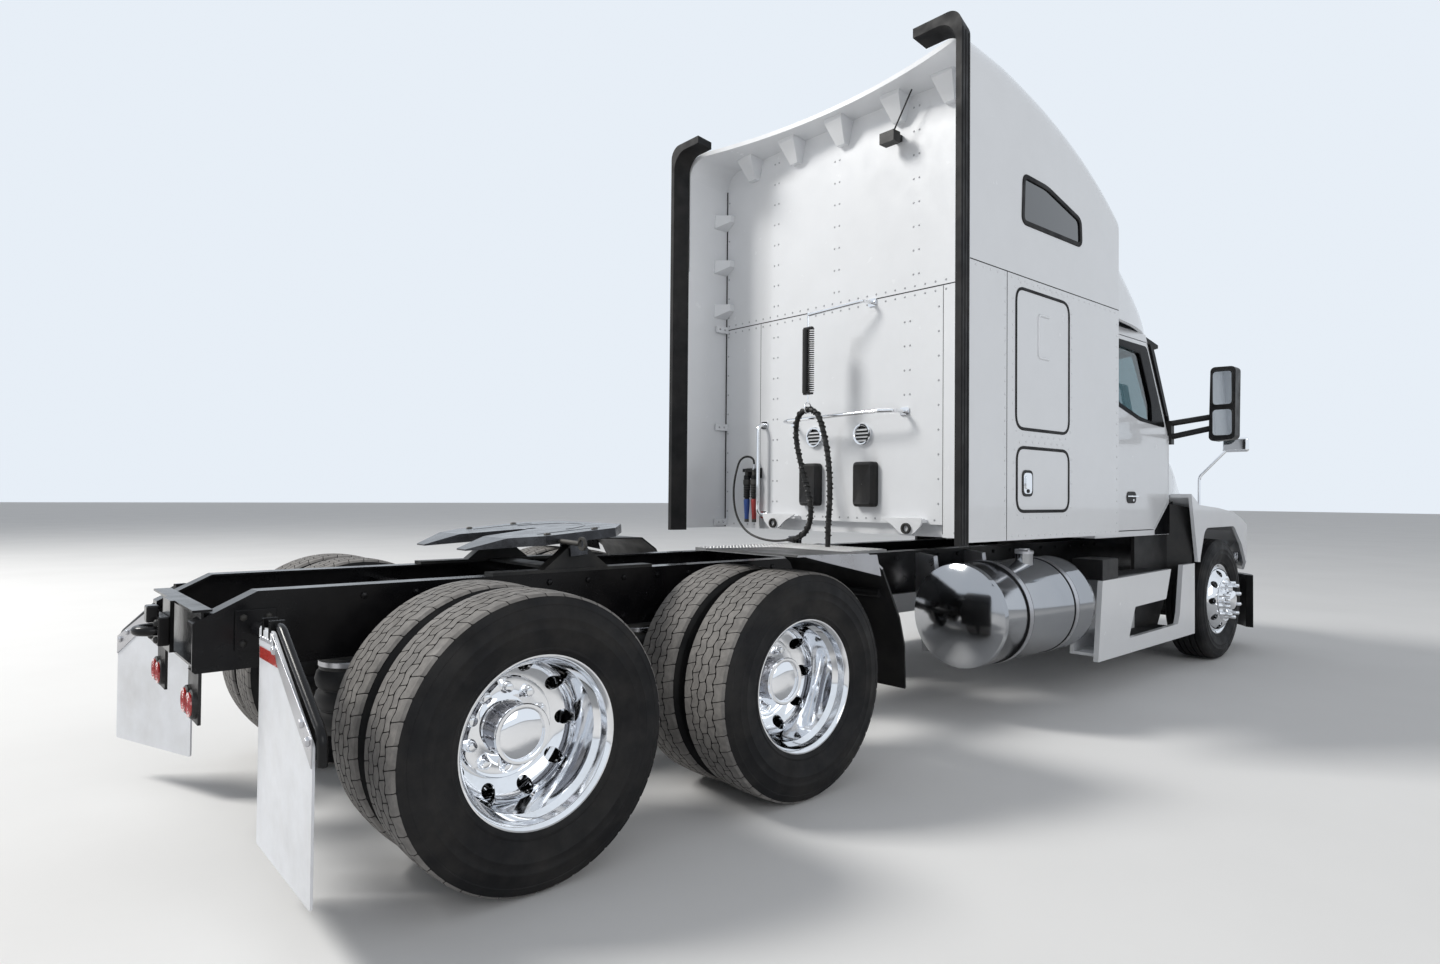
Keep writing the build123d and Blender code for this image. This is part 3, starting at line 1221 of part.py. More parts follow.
def make_entry_panels():
    """Black moulded pieces round each entry: treads, a box behind, the sill and the wedge to the fender."""
    inside_y = -STEP_SIDE_Y + STEP_WALL
    low_tread = box(3992, 4885, inside_y, STEP_INNER_Y - 25, STEP_FLOOR_Z, LOW_TREAD_Z)
    tread_top_z = STEP_TOP_Z + 14
    top_tread = box(END_BOX_X[1], 4760, inside_y, STEP_INNER_Y, tread_top_z - TREAD_WALL, tread_top_z)
    end_box = box(*END_BOX_X, -STEP_SIDE_Y + 12, STEP_INNER_Y, STEP_TOP_Z + 1, END_BOX_TOP_Z)
    end_box = chamfer(end_box.edges().filter_by(Axis.Z).sort_by(Axis.X)[-2:], 40)
    wedge_front_x = FENDER_REAR_X - 8
    plan = [
        (SILL_REAR_X, -1010), (5093, -1046), (wedge_front_x, -1186),
        (wedge_front_x, -1160), (5102, -1020), (SILL_REAR_X, -984),
    ]
    sill_z = CAB_BOTTOM_Z + 23
    wedge_line = [
        (SILL_REAR_X, STEP_FLOOR_Z), (4900, STEP_FLOOR_Z), (wedge_front_x, FENDER_REAR_Z - 20),
        (wedge_front_x, 1290), (5098, 1322), (4802, sill_z), (SILL_REAR_X, sill_z),
    ]
    wedge = plan_prism(plan, 200, 1400) & side_prism(wedge_line, -1250, -900)
    right_fairing = make_side_steps()[0]
    return both_sides(low_tread + top_tread + end_box + wedge - cab_solid(0) - right_fairing)


def make_deck_plates():
    """The tread plate on the rails behind the sleeper."""
    plate = box(DECK_REAR_X, DECK_FRONT_X, -FRAME_WIDTH / 2, FRAME_WIDTH / 2, RAIL_TOP, RAIL_TOP + DECK_WALL)
    return [plate]


QUARTER_LINE = [
    # x, z of the fender's path from its rear top edge to its lower front edge
    (574, 1095), (1060, 1085), (1172, 1010), (1310, 760), (1352, 620), (1361, 410),
]


def make_rear_fenders():
    """Quarter fenders ahead of the forward drive wheels, on two arms from each rail."""
    outer = QUARTER_LINE
    inner = [(x - 7, z - 8) for x, z in reversed(QUARTER_LINE)]
    fender = side_prism(outer + inner, -QUARTER_OUTER_Y, -QUARTER_INNER_Y)
    skirt_line = [(574, 1095), (1118, 1077), (1150, 973), (792, 1048)]
    skirt = side_prism(skirt_line, -QUARTER_OUTER_Y - 6, -QUARTER_OUTER_Y)
    arm = rod((1232, -FRAME_WIDTH / 2, 880), (1232, -QUARTER_OUTER_Y + 60, 880), 22)
    unit = fender + skirt + arm
    return both_sides(unit)


def flap_unit(side):
    """One mud flap, its upper edge under the hanger; the left one hangs swung back."""
    y0 = FLAP_INNER_Y
    flap = box(FLAP_X - FLAP_WALL, FLAP_X, y0, y0 + FLAP_WIDTH, FLAP_BOTTOM_Z, FLAP_TOP_Z)
    if side < 0:
        return flip(flap)
    swing = Axis((FLAP_X, y0, 0), (0, 0, 1))
    return flap.rotate(swing, LEFT_FLAP_SWING)


def make_mud_flaps():
    return [flap_unit(-1), flap_unit(1)]


def hanger_unit(side):
    """A spring arm from the rail's end to the flap, with the bar that grips the flap's top."""
    y0 = FLAP_INNER_Y
    bar = box(FLAP_X, FLAP_X + 24, y0 - 20, y0 + FLAP_WIDTH, FLAP_TOP_Z - 70, FLAP_TOP_Z + 12)
    if side > 0:
        bar = bar.rotate(Axis((FLAP_X, y0, 0), (0, 0, 1)), LEFT_FLAP_SWING)
    arm = rod((FLAP_X + 14, FRAME_WIDTH / 2, FLAP_TOP_Z - 29), (FLAP_X + 14, y0 - 6, FLAP_TOP_Z - 29), 24)
    unit = bar + arm
    if side < 0:
        unit = flip(unit)
    return unit


def make_flap_hangers():
    return [hanger_unit(-1), hanger_unit(1)]


def make_tail_lamps():
    """Round red lamps on plates below the rear ends of the rails."""
    unit = box(-1540, -1530, 250, FRAME_WIDTH / 2, 560, RAIL_TOP - RAIL_DEPTH)
    for y in (290, 385):
        unit += rod((-1540, y, 625), (-1562, y, 625), 42)
    return both_sides(unit)


# Rear wall of the sleeper and its hoses
def make_wall_fittings():
    """Grab rail, hose bars with the spring hanger, round lamps, vents, and the work lamp with its aerial."""
    wall_x = SLEEPER_REAR_X
    grab_line = [(wall_x, 1885), (wall_x - 70, 1885), (wall_x - 70, 1215), (wall_x, 1215)]
    grab = bent_rod([(x, 750, z) for x, z in grab_line], 14, 40)
    x = wall_x - SPRING_REACH
    upper_bar = bent_rod([(wall_x, -258, 2640), (wall_x - 90, -258, 2640), (x, SPRING_Y, 2575)], 12, 60)
    spring = rod((x, SPRING_Y, 2590), (x, SPRING_Y, SPRING_TOP_Z), 8)
    for y in (SPRING_Y - 24, SPRING_Y + 24):
        spring += rod((x, y, SPRING_TOP_Z), (x, y, SPRING_BOTTOM_Z), 22)
    for z in (SPRING_TOP_Z - 10, SPRING_BOTTOM_Z - 12):
        spring += box(x - 12, x + 12, SPRING_Y - 36, SPRING_Y + 36, z, z + 22)
    spring += rod((x, SPRING_Y, SPRING_BOTTOM_Z - 5), (x, SPRING_Y, HOOK_Z + HOOK_R), 6)
    spring += Pos(x, SPRING_Y, HOOK_Z) * Rot(90, 0, 0) * Torus(HOOK_R, 5)
    lower_line = [
        (wall_x, -520, 1900), (wall_x - 110, -520, 1900), (wall_x - 160, -430, 1900),
        (wall_x - 160, 360, 1885), (wall_x - 110, 440, 1885), (wall_x, 440, 1885),
    ]
    lower_bar = bent_rod(lower_line, 13, 35)
    pieces = [grab, upper_bar + spring, lower_bar]
    for y in (241, -184):
        pieces.append(rod((wall_x, y, 1771), (wall_x - 24, y, 1771), 74))
    for y in (268, -220):
        vent = box(wall_x - 62, wall_x, y - 90, y + 90, 1290, 1587)
        pieces.append(chamfer(vent.faces().sort_by(Axis.X)[0].edges(), 22))
    lamp = box(wall_x - 100, wall_x, -490, -440, 3640, 3680)
    lamp += Pos(wall_x - 100, -465, 3640) * Box(70, 110, 70)
    lamp += rod((wall_x - 90, -480, 3670), (wall_x - 110, -640, 3890), 5)
    pieces.append(lamp)
    return pieces


BUNDLE_ROUTE = [
    # x, y, z from the deck, up, over the ring of the hanger and down again
    (2052, -92, 1025), (2052, -92, 1160), (2052, -108, 1320), (2050, -107, 1480), (2046, -92, 1640),
    (2045, -58, 1770), (2045, -29, 1853), (2046, 2, 1906), (2046, 55, 1937), (2047, 117, 1937),
    (2050, 170, 1906), (2058, 203, 1853), (2074, 222, 1760), (2090, 210, 1640), (2100, 168, 1490),
    (2100, 118, 1360), (2100, 98, 1240), (2100, 122, 1140), (2100, 196, 1072), (2100, 292, 1056),
]
AIR_HOSE_ROUTE = [
    # x, y, z from the bundle's end, out over the rail and up to the coupling
    (2100, 292, 1056), (2100, 370, 1043), (2100, 470, 1037), (2100, 590, 1048), (2100, 705, 1078),
    (2104, 800, 1138), (2112, 868, 1225), (2124, 906, 1335), (2142, 922, 1450), (2170, 924, 1550),
    (2190, 917, 1614), (2204, 903, 1638), (2218, 879, 1652), (2232, 851, 1652), (2244, 827, 1638),
    (2250, 815, 1614), (2250, 815, 1561),
]


def hose(route, radius):
    """A hose along runs joined by tangent arcs, each as large as its two runs allow."""
    bends = []
    for before, here, after in zip(route, route[1:], route[2:]):
        a = Vector(*here) - Vector(*before)
        b = Vector(*after) - Vector(*here)
        turn = radians(a.get_angle(b))
        bends.append(0.45 * min(a.length, b.length) / tan(turn / 2))
    path = FilletPolyline(*route, radius=bends)
    start = Plane(origin=path @ 0, z_dir=path % 0)
    tube = sweep(start * Circle(radius), path=path)
    print("hose radii", [round(bend) for bend in bends], "length", round(path.length),
          "volume ratio", round(tube.volume / (pi * radius * radius * path.length), 4))
    return tube


def make_hose_plugs():
    """The holder on the rear wall with its two couplings and their boots."""
    wall_x = SLEEPER_REAR_X
    holder = box(wall_x - 60, wall_x, 780, 930, 1500, 1561)
    for y in (895, 815):
        holder += rod((wall_x - 45, y, 1510), (wall_x - 45, y, 1330), 26)
        holder += rod((wall_x - 45, y, 1330), (wall_x - 45, y, 1160), 16)
    return [holder]


# Fifth wheel
def make_fifth_wheel_base():
    """Mounting rails and two pivot pedestals, seated on the frame."""
    pieces = []
    for side in (-1, 1):
        y = side * PEDESTAL_Y
        angle = box(PLATE_PIVOT_X - 420, PLATE_PIVOT_X + 420, y - 40, y + 40, RAIL_TOP, RAIL_TOP + 14)
        pedestal_line = [
            (PLATE_PIVOT_X - 170, RAIL_TOP + 14), (PLATE_PIVOT_X + 170, RAIL_TOP + 14),
            (PLATE_PIVOT_X + 45, PLATE_PIVOT_Z + 10), (PLATE_PIVOT_X - 45, PLATE_PIVOT_Z + 10),
        ]
        pedestal = side_prism(pedestal_line, y - PEDESTAL_HALF, y + PEDESTAL_HALF)
        near = (PLATE_PIVOT_X, y - 50, PLATE_PIVOT_Z)
        far = (PLATE_PIVOT_X, y + 50, PLATE_PIVOT_Z)
        pedestal -= rod(near, far, PLATE_PIN_R + 1)
        pieces.append(angle + pedestal)
    half = FRAME_WIDTH / 2 - 84
    tie = box(PLATE_PIVOT_X - 60, PLATE_PIVOT_X + 60, -half, half, RAIL_TOP, RAIL_TOP + 14)
    return [pieces[0] + pieces[1] + tie]


def make_fifth_wheel_plate():
    """The coupling plate: a horseshoe with a throat and two ramps, on pins in the pedestals."""
    top_line = [
        (PLATE_FRONT_X, -300), (PLATE_FRONT_X, 300), (PLATE_FRONT_X - 140, PLATE_HALF_WIDTH),
        (-230, PLATE_HALF_WIDTH), (-330, 380), (PLATE_RAMP_X, 270), (PLATE_RAMP_X, 180),
        (-300, THROAT_HALF_WIDTH * 0.7), (PLATE_PIVOT_X - 40, 40), (PLATE_PIVOT_X - 40, -40),
        (-300, -THROAT_HALF_WIDTH * 0.7), (PLATE_RAMP_X, -180), (PLATE_RAMP_X, -270), (-330, -380),
        (-230, -PLATE_HALF_WIDTH), (PLATE_FRONT_X - 140, -PLATE_HALF_WIDTH),
    ]
    top = plan_prism(top_line, PLATE_TOP_Z - PLATE_DEPTH, PLATE_TOP_Z)
    top -= rod((PLATE_PIVOT_X, 0, PLATE_TOP_Z - 90), (PLATE_PIVOT_X, 0, PLATE_TOP_Z + 9), LOCK_BORE_R)
    ramp_end_x = PLATE_RAMP_X - 20
    ramp_line = [(-360, PLATE_TOP_Z + 1), (ramp_end_x, PLATE_TOP_Z + 1), (ramp_end_x, PLATE_TOP_Z - 40)]
    top -= side_prism(ramp_line, -500, 500)
    ear_near = PEDESTAL_HALF + SEAT_GAP
    ear_far = ear_near + EAR_WALL
    x = PLATE_PIVOT_X
    for y in (-PEDESTAL_Y, PEDESTAL_Y):
        for low, high in ((-ear_far, -ear_near), (ear_near, ear_far)):
            top += box(x - 45, x + 45, y + low, y + high, PLATE_PIVOT_Z - 30, PLATE_TOP_Z - 20)
        top += rod((x, y - ear_far, PLATE_PIVOT_Z), (x, y + ear_far, PLATE_PIVOT_Z), PLATE_PIN_R)
    pivot = Axis((x, 0, PLATE_PIVOT_Z), (0, 1, 0))
    return [top.rotate(pivot, -PLATE_REST_TILT)]


NODES = {
    "frame": make_frame,
    "front_axle": make_front_axle,
    "drive_axles": make_drive_axles,
    "rear_suspension": make_rear_suspension,
    "engine": make_engine,
    "propshafts": make_propshafts,
    "radiator": make_radiator,
    "fuel_tanks": make_fuel_tanks,
    "tank_straps": make_tank_straps,
    "side_steps": make_side_steps,
    "entry_panels": make_entry_panels,
    "cab_shell": make_cab_shell,
    "cab_glass": make_cab_glass,
    "seats": make_seats,
    "dashboard": make_dashboard,
    "sleeper_shell": make_sleeper_shell,
    "roof_fairing": make_roof_fairing,
    "side_extenders": make_side_extenders,
    "edge_strips": make_edge_strips,
    "sun_visor": make_sun_visor,
    "mirrors": make_mirrors,
    "deck_plates": make_deck_plates,
    "rear_fenders": make_rear_fenders,
    "flap_hangers": make_flap_hangers,
    "mud_flaps": make_mud_flaps,
    "tail_lamps": make_tail_lamps,
    "wall_fittings": make_wall_fittings,
    "hose_bundle": lambda: [hose(BUNDLE_ROUTE, BUNDLE_R)],
    "air_hose": lambda: [hose(AIR_HOSE_ROUTE, AIR_HOSE_R)],
    "hose_plugs": make_hose_plugs,
    "fifth_wheel_base": make_fifth_wheel_base,
    "fifth_wheel_plate": make_fifth_wheel_plate,
    "bumper": make_bumper,
    "hood": make_hood,
    "grille": make_grille,
    "headlamps": make_headlamps,
    "hood_mirrors": make_hood_mirrors,
    "door_right": lambda: door(-1),
    "door_left": lambda: door(1),
    "door_glass_right": lambda: door_glass(-1),
    "door_glass_left": lambda: door_glass(1),
    "tall_door_right": lambda: baggage_door(TALL_DOOR, -1, TALL_HINGE_Z),
    "tall_door_left": lambda: baggage_door(TALL_DOOR, 1, TALL_HINGE_Z),
    "low_door_right": lambda: baggage_door(LOW_DOOR, -1, LOW_HINGE_Z),
    "low_door_left": lambda: baggage_door(LOW_DOOR, 1, LOW_HINGE_Z),
    "knuckle_right": lambda: [knuckle(-1)],
    "knuckle_left": lambda: [knuckle(1)],
    "tie_rod": make_tie_rod,
    "steer_wheel_right": lambda: [steer_wheel(-1)],
    "steer_wheel_left": lambda: [steer_wheel(1)],
    "steer_tyre_right": lambda: [steer_tyre(-1)],
    "steer_tyre_left": lambda: [steer_tyre(1)],
}
for axle_name, axle_x in (("forward", AXLE_SPACING / 2), ("rear", -AXLE_SPACING / 2)):
    for side_name, side in (("right", -1), ("left", 1)):
        NODES[axle_name + "_wheels_" + side_name] = lambda x=axle_x, s=side: [drive_wheel_pair(x, s)]
        NODES[axle_name + "_tyres_" + side_name] = lambda x=axle_x, s=side: drive_tyre_pair(x, s)

REAR_X = TOW_RING_X - TOW_RING_R
MIDDLE_X = (REAR_X + BUMPER_FRONT_X) / 2


def place(shape):
    """Moves a piece so that the origin is under the middle of the vehicle."""
    return Pos(-MIDDLE_X, 0, 0) * shape


os.makedirs("parts", exist_ok=True)
print("middle of the vehicle is", MIDDLE_X, "ahead of the middle of the bogie")
for name, make in NODES.items():
    solids = []
    for piece in make():
        solids += place(piece).solids()
    export_step(Compound(children=solids), "parts/" + name + ".step")
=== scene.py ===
import json
from math import cos, pi, radians, sin, sqrt

import bmesh
import bpy
from mathutils import Matrix, Vector
from mathutils.bvhtree import BVHTree


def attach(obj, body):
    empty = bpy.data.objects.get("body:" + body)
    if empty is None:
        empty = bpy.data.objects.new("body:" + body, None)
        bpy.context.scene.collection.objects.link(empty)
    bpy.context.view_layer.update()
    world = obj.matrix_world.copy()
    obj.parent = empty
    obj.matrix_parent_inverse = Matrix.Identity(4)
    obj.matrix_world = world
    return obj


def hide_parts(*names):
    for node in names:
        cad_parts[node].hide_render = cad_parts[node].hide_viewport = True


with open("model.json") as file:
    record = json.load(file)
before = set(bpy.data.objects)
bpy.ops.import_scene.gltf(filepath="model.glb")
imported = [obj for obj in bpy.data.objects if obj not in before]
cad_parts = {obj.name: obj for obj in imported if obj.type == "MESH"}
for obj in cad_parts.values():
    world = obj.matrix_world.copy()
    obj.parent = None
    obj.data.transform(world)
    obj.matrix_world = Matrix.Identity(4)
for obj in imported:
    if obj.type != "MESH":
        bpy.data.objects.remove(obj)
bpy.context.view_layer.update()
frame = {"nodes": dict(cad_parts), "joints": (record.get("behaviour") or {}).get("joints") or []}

# Places are written in millimetres from the ground under the middle of the rear bogie,
# X forward and Y left. at() turns them into metres in the shared frame.
JOINT_PLACES = {joint["name"]: joint["pos_m"] for joint in frame["joints"]}
BOGIE_X = (JOINT_PLACES["forward_wheels_right_spin"][0] + JOINT_PLACES["rear_wheels_right_spin"][0]) / 2
MM = 0.001
UP = (0, 0, 1)
LEFT = (0, 1, 0)
FORWARD = (1, 0, 0)
BACKWARD = (-1, 0, 0)
SIDES = (("right", -1), ("left", 1))
SIGNS = (-1, 1)
FLIP = Matrix.Scale(-1, 4, LEFT)


def at(x, y, z):
    return Vector((x * MM + BOGIE_X, y * MM, z * MM))


# Driving sizes, in millimetres
TYRE_R = 510
BEAD_R = 288
RIM_FLANGE_R = 298.5
RIM_HALF = 116
RIM_WALL = 12
WELL_DEPTH = 20
DISC_OFFSET = 168
DISC_WALL = 22
HAND_HOLES = 10
HAND_HOLE_R = 28
HAND_HOLE_CIRCLE_R = 229
HUB_COVER_R = 184
STUD_CIRCLE_R = 143
DUAL_OUTER_Y = 1071
DUAL_SPACING = 335
STEER_WHEEL_Y = 1065
STEER_HUB_REAR_Y = 1020.3
AXLE_X = {"forward": 660.5, "rear": -660.5}
WHEELBASE = 5845


# Materials
def node(tree, kind, *sources, **values):
    """A shader node: sources are linked to its first inputs, values fill named inputs or set settings."""
    made = tree.nodes.new(kind)
    for name, value in values.items():
        if name in made.inputs:
            made.inputs[name].default_value = value
        else:
            setattr(made, name, value)
    for number, source in enumerate(sources):
        tree.links.new(source, made.inputs[number])
    return made


def blank_material(name, **sockets):
    """A new material with its shader's plain sockets set."""
    material = bpy.data.materials.new(name)
    material.use_nodes = True
    tree = material.node_tree
    shader = tree.nodes["Principled BSDF"]
    for socket, value in sockets.items():
        shader.inputs[socket.replace("_", " ")].default_value = value
    return material, tree, shader


def noise(tree, scale, detail=4.0, roughness=0.55):
    """Noise over the object's own coordinates."""
    place = node(tree, "ShaderNodeTexCoord").outputs["Object"]
    cloud = node(tree, "ShaderNodeTexNoise", place, Scale=scale, Detail=detail, Roughness=roughness)
    return cloud.outputs["Fac"]


def ramp(tree, factor, stops):
    """Colours along a factor, from a table of (place, colour)."""
    band = node(tree, "ShaderNodeValToRGB", factor)
    elements = band.color_ramp.elements
    for element, (place, colour) in zip(elements, stops):
        element.position = place
        element.color = (*colour, 1)
    return band.outputs["Color"]


def grey(level):
    return (level, level, level)


def scaled(colour, factor):
    return tuple(channel * factor for channel in colour)


CLOUD_SCALE = 6.0
GLOSS_SCALE = 9.0
GRAIN_DEPTH = 0.002
MIX_COLOURS = (6, 7)
MIX_RESULT = 2


def surface(name, colour, roughness, dirt=None, dirt_amount=0.3, dirt_scale=2.5, grain=400, relief=0.05,
            spread=0.06, **sockets):
    """A finish with clouded colour, dirt in patches, uneven gloss and a fine grain."""
    material, tree, shader = blank_material(name, **sockets)
    clouds = noise(tree, CLOUD_SCALE)
    tone = ramp(tree, clouds, [(0.3, scaled(colour, 1 - spread)), (0.7, scaled(colour, 1 + spread))])
    if dirt:
        patches = noise(tree, dirt_scale, 8.0, 0.62)
        cover = ramp(tree, patches, [(0.42, grey(0)), (0.75, grey(dirt_amount))])
        film = ramp(tree, clouds, [(0.0, scaled(dirt, 0.8)), (1.0, dirt)])
        mixer = node(tree, "ShaderNodeMix", cover, data_type="RGBA")
        for number, source in zip(MIX_COLOURS, (tone, film)):
            tree.links.new(source, mixer.inputs[number])
        tone = mixer.outputs[MIX_RESULT]
    tree.links.new(tone, shader.inputs["Base Color"])
    dull = grey(min(1, roughness * 1.3))
    gloss = ramp(tree, noise(tree, GLOSS_SCALE, 6.0), [(0.3, grey(roughness * 0.8)), (0.75, dull)])
    tree.links.new(gloss, shader.inputs["Roughness"])
    bump = node(tree, "ShaderNodeBump", Strength=relief, Distance=GRAIN_DEPTH)
    tree.links.new(noise(tree, grain, 3.0), bump.inputs["Height"])
    tree.links.new(bump.outputs["Normal"], shader.inputs["Normal"])
    return material


# After each name: colour, roughness, dirt and its amount and scale, grain's scale, relief, spread of colour
DUST = (0.33, 0.30, 0.26)
PAINT = surface("white paint", (0.80, 0.815, 0.84), 0.22, DUST, 0.05, 1.2, 900, 0.006, 0.012,
                Coat_Weight=0.7, Coat_Roughness=0.04)
FRAME_PAINT = surface("black frame paint", (0.005, 0.005, 0.006), 0.22, DUST, 0.03, 3.0, 300, 0.02, 0.2,
                      Specular_IOR_Level=0.22)
CHASSIS = surface("dull chassis black", grey(0.012), 0.5, DUST, 0.12, 5.0, 200, 0.1, 0.2,
                  Specular_IOR_Level=0.35)
IRON = surface("dusty cast iron", (0.07, 0.068, 0.065), 0.6, DUST, 0.3, 4.0, 250, 0.2, Metallic=0.5)
GREASE = surface("greased plate", (0.05, 0.052, 0.058), 0.22, (0.16, 0.17, 0.19), 0.6, 14.0, 60, 0.3,
                 Metallic=0.7)
POLISHED = surface("polished aluminium", (0.86, 0.87, 0.89), 0.07, (0.45, 0.44, 0.42), 0.25, 9.0, 700, 0.006,
                   0.02, Metallic=1.0)
CHROME = surface("chrome", (0.88, 0.89, 0.91), 0.035, grain=500, relief=0.003, spread=0.01, Metallic=1.0)
DARK_CHROME = surface("dark chrome", (0.28, 0.28, 0.3), 0.15, DUST, 0.2, 9.0, 500, 0.01, 0.05, Metallic=1.0)
# Painted reflection: the tank's aluminium is darkened far below polished metal, standing in for the shaded
# ground that the tanks mirror.
TANK_PAINTED_REFLECTION = surface("tank aluminium darkened as painted reflection", (0.4, 0.41, 0.43), 0.1, (0.4, 0.39, 0.37), 0.3, 3.0, 40, 0.01, 0.03,
               Metallic=1.0)
STAINLESS = surface("stainless strap", (0.5, 0.5, 0.52), 0.3, DUST, 0.15, 5.0, 300, 0.03, 0.05, Metallic=1.0)
DECK = surface("deck aluminium", grey(0.5), 0.4, (0.25, 0.22, 0.19), 0.5, 6.0, 150, 0.2, 0.08, Metallic=0.9)
PLASTIC = surface("black plastic", (0.011, 0.011, 0.012), 0.42, DUST, 0.06, 4.0, 1200, 0.12, 0.2,
                  Specular_IOR_Level=0.3)
GLOSS_BLACK = surface("gloss black trim", (0.004, 0.004, 0.005), 0.25, DUST, 0.02, 3.0, 900, 0.01, 0.1,
                      Specular_IOR_Level=0.05)
RUBBER = surface("strip rubber", (0.008, 0.008, 0.009), 0.6, DUST, 0.06, 3.0, 500, 0.1, 0.2,
                 Specular_IOR_Level=0.25)
HOSE = surface("hose rubber", grey(0.009), 0.42, DUST, 0.08, 20.0, 800, 0.1, 0.2, Specular_IOR_Level=0.35)
SIDEWALL = surface("tyre side wall", (0.008, 0.008, 0.009), 0.6, DUST, 0.07, 5.0, 350, 0.12, 0.2,
                   Specular_IOR_Level=0.2)
TREAD = surface("dusty tread", (0.17, 0.162, 0.155), 0.85, (0.3, 0.285, 0.27), 0.9, 30.0, 260, 0.5, 0.15)
FLAP = surface("white flap", (0.74, 0.76, 0.8), 0.38, DUST, 0.3, 3.5, 300, 0.05, 0.03)
RED_LENS = surface("red lens", (0.42, 0.012, 0.01), 0.12, DUST, 0.06, 8.0, 900, 0.01, 0.05, Coat_Weight=1.0)
FABRIC = surface("seat fabric", (0.05, 0.05, 0.055), 0.9, grain=1500, relief=0.6, spread=0.1,
                 Sheen_Weight=0.3)
INTERIOR = surface("cab plastic", (0.06, 0.06, 0.062), 0.55, grain=900, relief=0.2, spread=0.05)
GLASS, _, _ = blank_material("tinted glass", Base_Color=(0.32, 0.42, 0.44, 1), Roughness=0.02,
                             Transmission_Weight=1.0, IOR=1.45)
DARK_GLASS = surface("dark glass", (0.008, 0.009, 0.011), 0.03, grain=900, relief=0.001, spread=0.01,
                     Coat_Weight=1.0)
LAMP_GLASS = surface("lamp glass", (0.52, 0.55, 0.6), 0.08, DUST, 0.06, 6.0, 900, 0.01, 0.05, Metallic=0.7,
                     Coat_Weight=1.0, Coat_Roughness=0.03)
# Painted shade: the rivets are as white as the wall, and this grey stands in for the small shadows round
# their heads.
RIVET_PAINTED_SHADE = surface("rivet grey as painted shade", (0.4, 0.41, 0.43), 0.35, grain=500, relief=0.01, spread=0.02)
REFLECTOR = surface("red reflector", (0.55, 0.04, 0.03), 0.25, DUST, 0.15, 8.0, 900, 0.05, 0.08,
                    Coat_Weight=0.8)
BLUE_BOOT = surface("blue boot", (0.02, 0.07, 0.3), 0.45, DUST, 0.1, 12.0, 700, 0.08)
RED_BOOT = surface("red boot", (0.32, 0.02, 0.02), 0.45, DUST, 0.1, 12.0, 700, 0.08)
MIRROR = surface("mirror glass", (0.75, 0.8, 0.84), 0.02, grain=900, relief=0.0, spread=0.005, Metallic=1.0)

NODE_FINISHES = (
    # finish, the CAD nodes that take it
    (PAINT, "side_steps cab_shell sleeper_shell roof_fairing side_extenders hood door_right door_left "
            "tall_door_right tall_door_left low_door_right low_door_left"),
    (CHASSIS, "front_axle drive_axles rear_suspension propshafts radiator flap_hangers fifth_wheel_base "
              "knuckle_right knuckle_left tie_rod"),
    (PLASTIC, "entry_panels mirrors rear_fenders hose_plugs bumper"),
    (CHROME, "wall_fittings grille hood_mirrors"),
    (GLASS, "cab_glass door_glass_right door_glass_left"),
    (FRAME_PAINT, "frame"), (IRON, "engine"), (TANK_PAINTED_REFLECTION, "fuel_tanks"), (STAINLESS, "tank_straps"),
    (FABRIC, "seats"), (INTERIOR, "dashboard"), (RUBBER, "edge_strips"), (GLOSS_BLACK, "sun_visor"),
    (DECK, "deck_plates"), (FLAP, "mud_flaps"), (RED_LENS, "tail_lamps"), (GREASE, "fifth_wheel_plate"),
    (LAMP_GLASS, "headlamps"),
)
for finish, node_names in NODE_FINISHES:
    for node_name in node_names.split():
        materials = frame["nodes"][node_name].data.materials
        materials.clear()
        materials.append(finish)


# Mesh building
BEVEL_ANGLE = 40
WELD_GAP = 0.00002


def linked(name, data):
    """A new object in the scene."""
    made = bpy.data.objects.new(name, data)
    bpy.context.scene.collection.objects.link(made)
    return made


class Shape:
    """Points and faces of one piece, with each face's material, or None for the piece's main one."""

    def __init__(self, points=(), faces=(), finish=None):
        self.points = [Vector(point) for point in points]
        self.faces = [list(face) for face in faces]
        self.finishes = [finish] * len(self.faces)

    def join(self, *others):
        for other in others:
            start = len(self.points)
            self.points += other.points
            self.faces += [[start + corner for corner in face] for face in other.faces]
            self.finishes += other.finishes
        return self

    def moved(self, matrix):
        """The same shape, its points put through a matrix."""
        mirrored = matrix.determinant() < 0
        faces = [face[::-1] if mirrored else face for face in self.faces]
        copy = Shape([matrix @ point for point in self.points], faces)
        copy.finishes = list(self.finishes)
        return copy

    def mesh(self, name):
        mesh = bpy.data.meshes.new(name)
        mesh.from_pydata(self.points, [], self.faces)
        return mesh

    def piece(self, name, body, slot, main, replaces=None, bevel=0.0, angle=35):
        """Makes the object, with smooth shading broken at sharp edges."""
        mesh = self.mesh(name)
        finishes = [main if finish is None else finish for finish in self.finishes]
        materials = list(dict.fromkeys([main, *finishes]))
        for material in materials:
            mesh.materials.append(material)
        for polygon, finish in zip(mesh.polygons, finishes):
            polygon.material_index = materials.index(finish)
            polygon.use_smooth = True
        mesh.set_sharp_from_angle(angle=radians(angle))
        made = linked(name, mesh)
        if bevel:
            rounding = made.modifiers.new("edges", "BEVEL")
            rounding.width = bevel
            rounding.segments = 2
            rounding.limit_method = "ANGLE"
            rounding.angle_limit = radians(BEVEL_ANGLE)
            rounding.harden_normals = True
        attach(made, body)
        if replaces:
            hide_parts(replaces)
        return made


